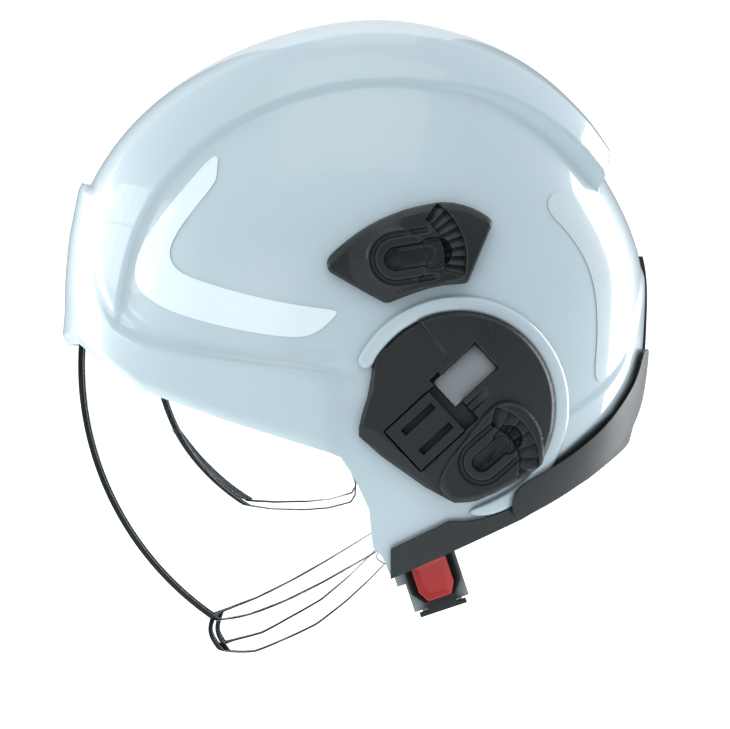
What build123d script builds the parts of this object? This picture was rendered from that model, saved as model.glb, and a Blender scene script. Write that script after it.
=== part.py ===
from build123d import *
import math
import os

# Rescue helmet with a face shield and an inner eye protector, millimetres, +Z up.
# The front of the helmet faces -Y and the wearer's left is +X.
# The origin is on the face shield's pivot axis, midway between the two pivots.

# ---- shell ------------------------------------------------------------------
SHELL_HALF_WIDTH = 113.0     # half width of the shell over the ears
SHELL_WALL = 4.0
SIDE_FULLNESS = 2.3          # exponent of the shell's cross section, 2 is an ellipse
CAP = 0.975                  # the side forms end in a flat at this share of their half width
SHELL_GROWTH = 0.0           # added to every radius of the shell's side outline
CREST_RISE = 4.0             # height of the crest and brow over the side panels
CREST_HALF_WIDTH = 76.0
RING_OUTER_R = 52.0
RING_RISE = 3.2

# ---- face shield ------------------------------------------------------------
SHIELD_R = 152.0             # outer radius about the pivot axis
SHIELD_WALL = 2.5
SHIELD_GAP = 2.0             # running gap to the inside of the shell at the pivot
SHIELD_LINER_GAP = 1.5
SHIELD_PIN_R = 5.0
SHIELD_HUB_R = 11.0
HUB_FLANGE_R = 16.0
PIVOT_CLEAR = 0.1
LIP_DEPTH = 13.0
LIP_FLARE = 9.0

# ---- liner and head space ---------------------------------------------------
HEAD_HALF_WIDTH = 88.0       # half width of the space inside the liner
LINER_GAP = 0.8              # between liner and shell

# ---- eye protector ----------------------------------------------------------
LENS_Y, LENS_Z = -20.0, 10.0  # centre of the lens curve
LENS_R = 95.0
LENS_WALL = 2.0
LENS_HALF_WIDTH = 79.6
LENS_LOW_Z = -67.0
LENS_TOP_Z = 15.0
LENS_ARM_INSET = 0.2         # inner face of the arms inside the lens's widest point
LENS_ARM_X = LENS_HALF_WIDTH - LENS_ARM_INSET
LENS_ARM_T = 2.2
LENS_PIN_R = 3.0

# ---- side adapters ----------------------------------------------------------
DISC_Y, DISC_Z, DISC_R = 33.0, -20.0, 44.5
ADAPTER_RISE = 8.0
ADAPTER_FACE_X = 3.5         # flat outer face, beyond the shell's half width
LATCH_Y, LATCH_Z, LATCH_ANGLE = 17.0, -30.0, 42.7
LATCH_LENGTH, LATCH_WIDTH, LATCH_T = 27.0, 24.0, 5.0
LATCH_TRAVEL = 8.0
SLIDE_CLEAR = 0.3
LATCH_FLOOR_DEPTH = 4.1      # depth of the latch track below the outer face
WINDOW_LENGTH, WINDOW_WIDTH, WINDOW_T = 26.0, 15.0, 1.2
SOCKET_Y, SOCKET_Z, SOCKET_R = 43.0, -43.5, 15.3
SOCKET_DEPTH = 9.0
KEY_R = 5.2
LAMP_Y, LAMP_Z = 1.5, 49.2
LAMP_RISE = 7.5
LAMP_KEY_R = 7.5
LAMP_KEY_DEPTH = 5.0
SCREW_R, SCREW_HEAD_R, SCREW_HEAD_H = 1.9, 4.0, 2.2

# ---- rim --------------------------------------------------------------------
TRIM_OUT, TRIM_IN = 2.5, 1.8
BUMPER_RISE = 6.0
LINER_RISE = 7.0             # the liner ends this far above the rim

# ---- harness ----------------------------------------------------------------
BAND_T, BAND_GAP = 1.5, 0.3
BAND_HALF_WIDTH, BAND_FRONT, BAND_REAR = 76.0, 94.0, 90.0
BAND_Z0, BAND_Z1 = 18.0, 44.0
TAIL_Z0, TAIL_Z1 = 22.0, 40.0
BAND_TRAVEL = 10.0
PAD_T = 5.0
CROWN_Z = 115.0
WEB_T, WEB_W = 1.6, 20.0
KNOB_R, KNOB_T = 13.0, 8.7
KNOB_Z = -32.0
NAPE_HOUSING_T = 6.5

# ---- chin strap and buckle --------------------------------------------------
BUCKLE_Y, BUCKLE_Z, BUCKLE_TILT = 20.0, -94.5, 18.4
BUCKLE_X = 75.3              # middle of the housing
BUCKLE_W, BUCKLE_H, BUCKLE_T = 25.0, 32.0, 11.5
BUTTON_W, BUTTON_H = 17.2, 18.0
BUTTON_TRAVEL = 2.5
TONGUE_W, TONGUE_T = 14.0, 1.4
STRAP_PIN_Z = -10.0          # hinge bar of the strap's far end, in the buckle's frame
STRAP_PIN_R = 1.5

# side outline of the shell as distances from the pivot axis, by direction in
# degrees: 0 is forward, 90 is up, 180 is to the rear
SHELL_R = {0: 159, 15: 160.5, 27: 165, 40: 168, 60: 167.3, 80: 166.4, 90: 166,
           100: 163.5, 110: 159.5, 120: 153.5, 130: 147, 140: 141.5, 150: 138,
           160: 134, 170: 128, 180: 124.5, 190: 123, 200: 123.5, 222: 132, 246: 150,
           270: 165, 300: 170, 330: 166, 345: 160}
# extra height of the crest over that outline, larger at its stepped rear end
CREST_EXTRA = {100: 0.3, 110: 1.6, 120: 3.6, 130: 4.9, 140: 4.6, 150: 1.0}
HEAD_R = {0: 124, 20: 127, 45: 131, 70: 131, 90: 129, 110: 127, 135: 122, 160: 114,
          180: 112, 200: 113, 222: 126, 246: 148, 270: 168, 300: 158, 325: 142, 345: 130}

# lower edge of the shell in side view, from the brow round to the nape
RIM = [(-200, 8), (-147.8, 10.3), (-113.9, -12), (-75.2, -25.3), (-52.5, -32.2),
       (-27.2, -40), (-21.6, -42.3), (-16.5, -49.8), (-13.2, -56.3), (-8.5, -66.5),
       (-7.6, -77.2), (-6.7, -84.2), (-2.5, -88.5), (1.5, -97.6), (62.8, -70.2),
       (95, -52.4), (114.3, -39.2), (124, -32), (200, -20)]
TRIM_TOP = [(-8, -78), (-3, -87), (62.8, -55.5), (82.5, -41.4), (107.3, -22), (119, -6),
            (150, -2)]
TRIM_LOW = [(150, -36), (124, -33.5), (114.3, -40.7), (95, -53.9), (62.8, -71.7),
            (1.5, -99.1), (-9, -90)]
# the side panel's front and lower border; the brow stands proud outside it
PANEL_EDGE = [(-70, 121), (-80.3, 111.4), (-102.5, 92.1), (-117.1, 69.9), (-124.2, 52.4),
              (-125.6, 36.4), (-122.3, 27.9), (-111.9, 20.8), (-100.1, 13.2), (-80.3, 7.1),
              (-50, 5.5), (-22, 6.5), (-19, -8)]
DISC_EDGE = [(-6.3, 8.8), (-8.1, -10.5), (-13.2, -26.6), (-13.2, -34.4), (27.7, -63.3),
             (40.1, -62.8), (45.6, -60.5), (63.9, -50.4), (72.7, -43.6), (90, -34),
             (90, 40), (-1, 40)]
LAMP_EDGE = [(-27.8, 46.9), (-26, 51.4), (-6.3, 66.1), (15.8, 73.9), (27.2, 75.8),
             (37.8, 73.5), (46, 69.3), (48.3, 65.7), (37.8, 40.4), (35.5, 37.7),
             (24, 36.8), (12.5, 33.5), (1.1, 29), (-2.1, 29), (-26.5, 42.7)]
FRONT_STICKER = [(-79.1, 101.9), (-96, 82.7), (-111, 64), (-117.5, 51.9), (-118.9, 43.5),
                 (-117.5, 37), (-112.8, 31.8), (-99.3, 24.3), (-74, 17.3), (-49.2, 13.1),
                 (-34.7, 13.1), (-23, 23.4), (-24, 25.7), (-37.5, 27.2), (-53.4, 30),
                 (-74, 35.1), (-95, 42.1), (-100.7, 47.7), (-102, 53.8), (-98.3, 62.2),
                 (-90.8, 72.5), (-80.5, 85.1), (-79.6, 89.3)]
REAR_STICKER = [(80, 84), (96, 70), (107, 48), (110.5, 22), (107, -4), (97, -10),
                (99.5, 18), (97, 42), (87.5, 60), (73, 74)]
SHELL_SCREWS = [(64.0, -2.0), (64.0, -36.0)]
LAMP_SCREWS = [(23.0, 42.0), (38.0, 62.0)]
STRAP_ANCHORS = [(-17.0, -36.0), (84.0, -54.0)]


def form(radii, grow, half_width, extra=None):
    """Closed body lofted through scaled copies of a side outline."""
    sections = []
    for share in (-CAP, -0.93, -0.84, -0.7, -0.5, -0.25, 0.0,
                  0.25, 0.5, 0.7, 0.84, 0.93, CAP):
        scale = (1 - abs(share) ** SIDE_FULLNESS) ** (1 / SIDE_FULLNESS)
        points = []
        for angle in sorted(radii):
            reach = (radii[angle] + grow + (extra or {}).get(angle, 0)) * scale
            points.append(Vector(share * half_width,
                                 -reach * math.cos(math.radians(angle)),
                                 reach * math.sin(math.radians(angle))))
        sections.append(Wire([Edge.make_spline(points, periodic=True)]))
    return Solid.make_loft(sections, False)


def shell_form(grow=0.0):
    return form(SHELL_R, SHELL_GROWTH + grow, SHELL_HALF_WIDTH + grow)


def head_form(grow=0.0):
    return form(HEAD_R, SHELL_GROWTH + grow, HEAD_HALF_WIDTH + grow)


def round_form(y, z, radius, half_width):
    """Body of revolution about an axis along X, flattened towards its poles."""
    points = []
    for step in range(0, 25):
        angle = math.pi / 2 * step / 24
        points.append((half_width * math.sin(angle) ** (2 / SIDE_FULLNESS),
                       radius * math.cos(angle) ** (2 / SIDE_FULLNESS)))
    left = [(-x, r) for x, r in reversed(points)]
    curve = Spline(*[(x, r) for x, r in left[:-1] + points])
    face = make_face(curve + Line((half_width, 0), (-half_width, 0)))
    return Pos(0, y, z) * revolve(face, Axis.X)


def prism(points, x0, x1):
    """Side-view polygon run from x0 to x1."""
    face = make_face(Plane.YZ.offset(x0) * Polyline(*points, close=True))
    return extrude(face, x1 - x0, dir=(1, 0, 0))


def rod(y, z, radius, x0, x1):
    return Pos((x0 + x1) / 2, y, z) * Rot(0, 90, 0) * Cylinder(radius, abs(x1 - x0))


def block(x0, x1, y0, y1, z0, z1):
    return Pos((x0 + x1) / 2, (y0 + y1) / 2, (z0 + z1) / 2) * Box(x1 - x0, y1 - y0, z1 - z0)


def strip(points, thick):
    """Polygon of even thickness along a path of points."""
    left, right = [], []
    for i, (a, b) in enumerate(points):
        p, q = points[max(i - 1, 0)], points[min(i + 1, len(points) - 1)]
        d1 = Vector(a - p[0], b - p[1]) if i else Vector(q[0] - a, q[1] - b)
        d2 = Vector(q[0] - a, q[1] - b) if i < len(points) - 1 else d1
        n1, n2 = d1.normalized(), d2.normalized()
        mid = Vector(-(n1.Y + n2.Y), n1.X + n2.X).normalized()
        reach = thick / 2 / max(0.5, mid.dot(Vector(-n1.Y, n1.X)))
        left.append((a + mid.X * reach, b + mid.Y * reach))
        right.append((a - mid.X * reach, b - mid.Y * reach))
    return left + right[::-1]


def other_side(piece):
    return mirror(piece, about=Plane.YZ)


def one(piece):
    """Largest solid of a result, so that a trimmed crumb never counts as a piece."""
    return max(piece.solids(), key=lambda s: s.volume)


PARTS = {}


def put(name, piece, solids=1):
    found = sorted(piece.solids(), key=lambda s: -s.volume)[:solids]
    PARTS[name] = Compound(children=found) if solids > 1 else found[0]
    PARTS[name].label = name


def both(name, piece):
    """A left piece and its mirrored twin."""
    put(name + "_left", piece)
    put(name + "_right", other_side(one(piece)))


# ---- shared solids ----------------------------------------------------------
OUTER = shell_form()
INNER = shell_form(-SHELL_WALL)
HEAD = head_form()
BELOW_RIM = prism([(-200, -250)] + RIM + [(200, -250)], -200, 200)
FACE_X = SHELL_HALF_WIDTH + ADAPTER_FACE_X
SHIELD_X = CAP * (SHELL_HALF_WIDTH - SHELL_WALL) - SHIELD_GAP
CORE_X = SHIELD_X - SHIELD_WALL - SHIELD_LINER_GAP
HEAD_WALL_X = CAP * HEAD_HALF_WIDTH
PIVOTS = rod(0, 0, SHIELD_PIN_R, -200, 200)
BUCKLE = Plane(origin=(0, BUCKLE_Y, BUCKLE_Z), x_dir=(1, 0, 0),
               z_dir=(0, -math.sin(math.radians(BUCKLE_TILT)),
                      math.cos(math.radians(BUCKLE_TILT))))


def form_x(radii, grow, half_width, y, z):
    """Half width of a lofted form at a side-view point."""
    angle = math.degrees(math.atan2(z, -y)) % 360
    keys = sorted(radii) + [360 + min(radii)]
    for a, b in zip(keys, keys[1:]):
        if a <= angle <= b:
            t = (angle - a) / (b - a)
            reach = radii[a % 360 if a >= 360 else a] * (1 - t) + radii[b % 360] * t
            break
    share = math.hypot(y, z) / (reach + grow)
    return (half_width + grow) * (1 - min(share, 0.999) ** SIDE_FULLNESS) ** (1 / SIDE_FULLNESS)


def latch_frame(x):
    """Plane on the adapter with its x direction along the latch's travel."""
    a = math.radians(LATCH_ANGLE)
    return Plane(origin=(x, LATCH_Y, LATCH_Z), x_dir=(0, math.cos(a), math.sin(a)),
                 z_dir=(1, 0, 0))


def latch_block(u0, u1, v0, v1, x0, x1):
    box = Pos((u0 + u1) / 2, (v0 + v1) / 2, (x1 - x0) / 2) * Box(u1 - u0, v1 - v0, x1 - x0)
    return latch_frame(x0) * box


def screw(y, z):
    """Screw from inside the shell, its head shaped to the inner face."""
    seat = form_x(SHELL_R, -SHELL_WALL, SHELL_HALF_WIDTH, y, z)
    head = rod(y, z, SCREW_HEAD_R, seat - SCREW_HEAD_H, seat + 6) & INNER
    return one(head + rod(y, z, SCREW_R, seat - 1, seat + SHELL_WALL + 4.0)), seat


def screw_hole(y, z, seat):
    return rod(y, z, SCREW_R, seat - 5, seat + SHELL_WALL + 4.0)


def build_shell():
    raised = form(SHELL_R, SHELL_GROWTH + CREST_RISE, SHELL_HALF_WIDTH + CREST_RISE,
                  CREST_EXTRA)
    crest = prism([(-200, -80), (-200, 230), (108, 230), (105, 112), (102.5, 97), (60, 90), (0, 0)],
                  -CREST_HALF_WIDTH, CREST_HALF_WIDTH)
    brow = prism([(-200, 220), (-70, 220)] + PANEL_EDGE + [(-19, -100), (-200, -100)],
                 -200, 200)
    ring = (rod(DISC_Y, DISC_Z, RING_OUTER_R, 60, 140)
            - rod(DISC_Y, DISC_Z, DISC_R + SLIDE_CLEAR, 50, 150)) & shell_form(RING_RISE)
    shell = OUTER + (raised & (crest + brow)) + ring + other_side(ring)
    shell = shell - INNER - BELOW_RIM - PIVOTS
    for y, z in SHELL_SCREWS + LAMP_SCREWS:
        seat = screw(y, z)[1]
        cut = screw_hole(y, z, seat)
        shell = shell - cut - other_side(cut)
    put("outer_shell", shell)
    return PARTS["outer_shell"]


def shield_zone(margin):
    """Side-view sector that the face shield sweeps, widened by a margin."""
    r = HUB_FLANGE_R + margin
    return [(r, -230), (r, r * 0.7), (r - 46, 205), (-230, 205), (-230, -230)]


def build_liner():
    body = shell_form(-SHELL_WALL - LINER_GAP)
    core = round_form(0, 0, SHIELD_R - SHIELD_WALL - SHIELD_LINER_GAP, CORE_X)
    pocket = prism(shield_zone(2.0), -200, 200) - core
    low = [(y, z + LINER_RISE) for y, z in RIM]
    below = prism([(-200, -250)] + low + [(200, -250)], -200, 200)
    liner = body - pocket - HEAD - below
    rim_room = prism([(y, z + 0.5) for y, z in TRIM_TOP] + TRIM_LOW, -200, 200)
    liner -= rim_room - shell_form(-SHELL_WALL - TRIM_IN - LINER_GAP)
    buckle_room = BUCKLE * block(BUCKLE_X - 14, BUCKLE_X + 9, -15.5, 15.5, -40, BUCKLE_H / 2 + 9.5)
    liner = liner - buckle_room - other_side(buckle_room)
    liner -= rod(0, 0, SHIELD_PIN_R, 90, 200) + rod(0, 0, SHIELD_PIN_R, -200, -90)
    liner -= block(-KNOB_R - 4, KNOB_R + 4, 60, BAND_REAR + 21, -90, KNOB_Z + KNOB_R + 4)
    for y, z in SHELL_SCREWS + LAMP_SCREWS:
        seat = screw(y, z)[1]
        cut = rod(y, z, SCREW_HEAD_R + 1, seat - SCREW_HEAD_H - 1.5, seat + 20)
        liner = liner - cut - other_side(cut)
    pins = rod(0, 0, LENS_PIN_R, HEAD_WALL_X - 1, HEAD_WALL_X + 4)
    hang = rod(*HANGER, HANGER_R, HEAD_WALL_X - 1, HEAD_WALL_X + 4)
    for cut in [pins, hang] + [rod(y, z, 2.5, 20, anchor_x(y, z) + 6) for y, z in STRAP_ANCHORS]:
        liner = liner - cut - other_side(cut)
    put("impact_liner", liner)


HANGER = (21.0, 31.0)
HANGER_R = 4.0


def anchor_x(y, z):
    return form_x(HEAD_R, 0, HEAD_HALF_WIDTH, y, z)


def build_rim(shell):
    band = prism(TRIM_TOP + TRIM_LOW, -200, 200)
    outer = shell_form(TRIM_OUT)
    trim = (outer & band) - shell_form(-SHELL_WALL - TRIM_IN) - shell
    trim = one(trim - prism(shield_zone(-14.5), -200, 200))
    put("edge_trim", trim)
    fin_face = make_face(Plane.XZ * Polyline((-15, -40), (15, -40), (15, -6), (4, 54),
                                             (-4, 54), (-15, -6), close=True))
    fin = extrude(fin_face, 200, dir=(0, 1, 0))
    fin = (outer & fin) - OUTER - shell - trim
    put("nape_fin", fin)
    bumper_zone = prism([(92, -60), (100, -38), (112, -18), (118, 12), (150, 14), (150, -60)],
                        -200, 200)
    bumper = (shell_form(BUMPER_RISE) & bumper_zone) - outer
    bumper -= prism([(-200, -250)] + [(y, z + 1.0) for y, z in RIM] + [(200, -250)], -200, 200)
    put("nape_bumper", bumper)


def keyhole(y, z, radius, angle, length, width, x0, x1):
    a = math.radians(angle)
    frame = Plane(origin=(x0, y, z), x_dir=(0, math.cos(a), math.sin(a)), z_dir=(1, 0, 0))
    depth = x1 - x0
    slot = Pos(length / 2, 0, depth / 2) * Box(length, width, depth)
    end = Pos(length, 0, depth / 2) * Cylinder(width / 2, depth)
    return rod(y, z, radius, x0, x1) + frame * slot + frame * end


def fan(y, z, r0, r1, angles, width, x0, x1):
    """Radial teeth slots about a socket."""
    teeth = []
    for angle in angles:
        a = math.radians(angle)
        frame = Plane(origin=(x0, y, z), x_dir=(0, math.cos(a), math.sin(a)), z_dir=(1, 0, 0))
        teeth.append(frame * (Pos((r0 + r1) / 2, 0, (x1 - x0) / 2)
                              * Box(r1 - r0, width, x1 - x0)))
    return teeth


def build_adapters(shell):
    disc = rod(DISC_Y, DISC_Z, DISC_R, 60, FACE_X) & prism(DISC_EDGE, 60, FACE_X)
    base = (disc & shell_form(ADAPTER_RISE)) - OUTER
    floor = FACE_X - LATCH_FLOOR_DEPTH
    half_l, half_w = LATCH_LENGTH / 2, LATCH_WIDTH / 2
    track = latch_block(-half_l - SLIDE_CLEAR, half_l + LATCH_TRAVEL + SLIDE_CLEAR,
                        -half_w - SLIDE_CLEAR, half_w + SLIDE_CLEAR, floor, FACE_X + 10)
    u0, v0 = half_l + 4.5, -1.3
    window_room = latch_block(u0, u0 + WINDOW_LENGTH, v0, v0 + WINDOW_WIDTH,
                              floor - WINDOW_T, FACE_X + 10)
    window = latch_block(u0, u0 + WINDOW_LENGTH, v0, v0 + WINDOW_WIDTH, floor - WINDOW_T, floor)
    socket_floor = FACE_X - SOCKET_DEPTH
    base = base - track - window_room - rod(SOCKET_Y, SOCKET_Z, SOCKET_R, socket_floor, FACE_X + 10)
    base = base - rod(0, 0, SHIELD_PIN_R, 60, SHELL_HALF_WIDTH * CAP + 1.5)
    screws = []
    for y, z in SHELL_SCREWS:
        body, seat = screw(y, z)
        base = base - screw_hole(y, z, seat)
        screws += [one(body), one(other_side(one(body)))]
    both("adapter_base", base)
    both("adapter_window", window - OUTER)
    PARTS["adapter_screws"] = Compound(label="adapter_screws", children=screws)

    latch = latch_block(-half_l, half_l, -half_w, half_w, floor + SLIDE_CLEAR,
                        floor + SLIDE_CLEAR + LATCH_T)
    top = floor + SLIDE_CLEAR + LATCH_T
    for v in (6.0, -6.0):
        latch -= latch_block(-8, 11, v - 1.8, v + 1.8, top - 3.2, top + 1)
    both("slide_latch", latch)

    face = FACE_X + 0.6
    socket = rod(SOCKET_Y, SOCKET_Z, SOCKET_R, socket_floor, face)
    socket -= rod(SOCKET_Y, SOCKET_Z, 12.4, face - 1.6, face + 5) \
        - rod(SOCKET_Y, SOCKET_Z, 10.6, 60, face + 6)
    socket -= rod(SOCKET_Y, SOCKET_Z, 8.8, face - 1.6, face + 5) \
        - rod(SOCKET_Y, SOCKET_Z, 7.0, 60, face + 6)
    socket -= keyhole(SOCKET_Y, SOCKET_Z, KEY_R, 41, 9.5, 5.2, face - 6.0, face + 5)
    for tooth in fan(SOCKET_Y, SOCKET_Z, 13.2, 16.0, range(-50, 131, 15), 1.6, face - 1.6, face + 5):
        socket -= tooth
    both("lower_socket", socket - OUTER)


def build_lamp_brackets():
    plate = (prism(LAMP_EDGE, 60, FACE_X + 10) & shell_form(LAMP_RISE)) - OUTER
    top = form_x(SHELL_R, LAMP_RISE, SHELL_HALF_WIDTH, LAMP_Y, LAMP_Z) + 0.4
    bottom = top - LAMP_KEY_DEPTH
    plate -= keyhole(LAMP_Y, LAMP_Z, LAMP_KEY_R, 10, 21.5, 9.0, bottom, top + 10)
    groove = rod(LAMP_Y, LAMP_Z, 14.5, top - 2.2, top + 10) - rod(LAMP_Y, LAMP_Z, 12.2, 60, top + 20)
    plate -= groove - block(60, 140, LAMP_Y + 4, LAMP_Y + 60, LAMP_Z - 40, LAMP_Z + 40)
    for tooth in fan(LAMP_Y + 3.5, LAMP_Z, 19.5, 28.5, range(-12, 61, 12), 2.2, top - 3.2, top + 10):
        plate -= tooth
    screws = []
    for y, z in LAMP_SCREWS:
        body, seat = screw(y, z)
        plate = plate - screw_hole(y, z, seat)
        screws += [one(body), one(other_side(one(body)))]
    both("lamp_bracket", plate)
    PARTS["lamp_bracket_screws"] = Compound(label="lamp_bracket_screws", children=screws)


def build_stickers():
    film = shell_form(0.5) - OUTER
    both("front_reflector", prism(FRONT_STICKER, 0, 200) & film)
    both("rear_reflector", prism(REAR_STICKER, 0, 200) & film)


# plane where the lip begins, tied to the shield's radius
SHIELD_LIP_LINE = ((-(SHIELD_R - 2.0), -(SHIELD_R + 1.0)), (-4.0, -(SHIELD_R - 56.0)))


def lip_oval(shift, out, wall):
    """Section of the shield on the lip plane, moved down by shift and flared forward."""
    (ya, za), (yb, zb) = SHIELD_LIP_LINE
    along = Vector(0, yb - ya, zb - za).normalized()
    down = Vector(0, along.Z, -along.Y)
    rings = []
    for grow in (0.0, -wall):
        points = []
        for step in range(-10, 11):
            share = math.sin(math.pi / 2 * step / 10 * 0.9)
            x = share * (SHIELD_X + grow) * 0.86
            r = (SHIELD_R + grow) * (1 - (abs(x) / (SHIELD_X + grow)) ** SIDE_FULLNESS) ** (1 / SIDE_FULLNESS)
            base = Vector(0, ya, za)
            b = base.dot(along)
            c = base.dot(base) - r * r
            t = -b - math.sqrt(max(b * b - c, 0.0))
            flare = out * math.cos(math.pi / 2 * share) ** 1.2
            point = base + along * (t - flare) + down * shift
            points.append(Vector(x, point.Y, point.Z))
        rings.append(points)
    outer, inner = rings
    edges = [Edge.make_spline(outer), Edge.make_line(outer[-1], inner[-1]),
             Edge.make_spline(inner[::-1]), Edge.make_line(inner[0], outer[0])]
    return Wire(edges)


def build_shield():
    skin = (round_form(0, 0, SHIELD_R, SHIELD_X)
            - round_form(0, 0, SHIELD_R - SHIELD_WALL, SHIELD_X - SHIELD_WALL))
    (ya, za), (yb, zb) = SHIELD_LIP_LINE
    outline = [(-230, 97), (-138, 58), (-60, 34), (0, HUB_FLANGE_R), (HUB_FLANGE_R * 0.7, HUB_FLANGE_R * 0.7),
               (HUB_FLANGE_R, 0), (HUB_FLANGE_R * 0.75, -HUB_FLANGE_R * 0.8), (3, zb + 51), (-5, zb + 12),
               (yb, zb), (ya, za), (-230, za)]
    shield = (skin & prism(outline, -200, 200))
    shield -= rod(0, 0, SHIELD_HUB_R, -200, 200)
    put("face_shield", shield)
    lip = Solid.make_loft([lip_oval(0.15, 0, SHIELD_WALL), lip_oval(LIP_DEPTH, LIP_FLARE, SHIELD_WALL)], True)
    put("shield_lip", lip)
    hub = rod(0, 0, SHIELD_HUB_R, SHIELD_X - SHIELD_WALL - 0.8, SHIELD_X + 1.5)
    hub += rod(0, 0, HUB_FLANGE_R, SHIELD_X + 0.05, SHIELD_X + 1.5)
    hub -= rod(0, 0, SHIELD_PIN_R + PIVOT_CLEAR, 60, 200)
    both("shield_hub", hub)
    pin = rod(0, 0, SHIELD_PIN_R, CORE_X - 6, SHELL_HALF_WIDTH * CAP + 1.5)
    PARTS["shield_pivot_pins"] = Compound(label="shield_pivot_pins",
                                          children=[one(pin), one(other_side(one(pin)))])


RIVETS = [(-40.0, 0.0), (-48.0, -14.0)]


def lens_x(y, z, inset=0.0):
    share = math.hypot(y - LENS_Y, z - LENS_Z) / (LENS_R - inset)
    return (LENS_HALF_WIDTH - inset) * (1 - share ** SIDE_FULLNESS) ** (1 / SIDE_FULLNESS)


def build_eye_protector():
    def lens_form(grow):
        return round_form(LENS_Y, LENS_Z, LENS_R + grow, LENS_HALF_WIDTH + grow)
    outline = [(-150, LENS_TOP_Z), (-60, LENS_TOP_Z), (-34, 8), (-31, -10), (-22, -36),
               (-15, -56), (-17, LENS_LOW_Z), (-150, LENS_LOW_Z)]
    lens = (lens_form(0) - lens_form(-LENS_WALL)) & prism(outline, -200, 200)

    def notch(grow):
        shape = Ellipse(20 + grow, 38 + grow)
        return Pos(0, -60, LENS_LOW_Z - 4) * Rot(90, 0, 0) * extrude(shape, 120)
    lens -= notch(2.0)
    pad = ((lens_form(0.8) - lens_form(-LENS_WALL - 0.8)) & (notch(2.0) - notch(0.0)))
    pad = pad & block(-40, 40, -200, -60, LENS_LOW_Z, 60)
    arm_profile = [(-52, -19), (-53, -12), (-42, 5), (-36, 7), (0, 7), (6, 6), (8, 0), (6, -6),
                   (0, -8), (-30, -8), (-43, -19)]
    arm = prism(arm_profile, LENS_ARM_X, LENS_ARM_X + LENS_ARM_T)
    arm -= rod(0, 0, LENS_PIN_R + PIVOT_CLEAR, 60, 100)
    rivets = []
    for y, z in RIVETS:
        rivet = rod(y, z, 3.2, 70, LENS_ARM_X) - lens_form(0)
        rivet = one(rivet) + rod(y, z, 1.6, lens_x(y, z, LENS_WALL) - 1.5, LENS_ARM_X + LENS_ARM_T + 0.7)
        rivet += rod(y, z, 2.8, LENS_ARM_X + LENS_ARM_T, LENS_ARM_X + LENS_ARM_T + 0.7)
        hole = rod(y, z, 1.6, 50, 100)
        lens = lens - hole - other_side(hole)
        arm -= hole
        rivets += [one(rivet), one(other_side(one(rivet)))]
    put("eye_protector", lens)
    put("nose_pad", pad)
    both("protector_arm", arm)
    PARTS["protector_rivets"] = Compound(label="protector_rivets", children=rivets)
    pin = rod(0, 0, LENS_PIN_R, LENS_ARM_X - 2.2, HEAD_WALL_X + 4)
    pin += rod(0, 0, 5.5, LENS_ARM_X - 2.2, LENS_ARM_X - 0.3)
    PARTS["protector_pivot_pins"] = Compound(label="protector_pivot_pins",
                                             children=[one(pin), one(other_side(one(pin)))])


def half_ring(x_out, y_out, thick, front, centre_y, z0, z1):
    """Half of an oval band in plan, on the front or the rear of its centre."""
    ring = Ellipse(x_out, y_out) - Ellipse(x_out - thick, y_out - thick)
    side = -1 if front else 1
    keep = Pos(0, side * 150) * Rectangle(400, 300)
    return Pos(0, centre_y, z0) * extrude(ring & keep, z1 - z0)


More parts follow.
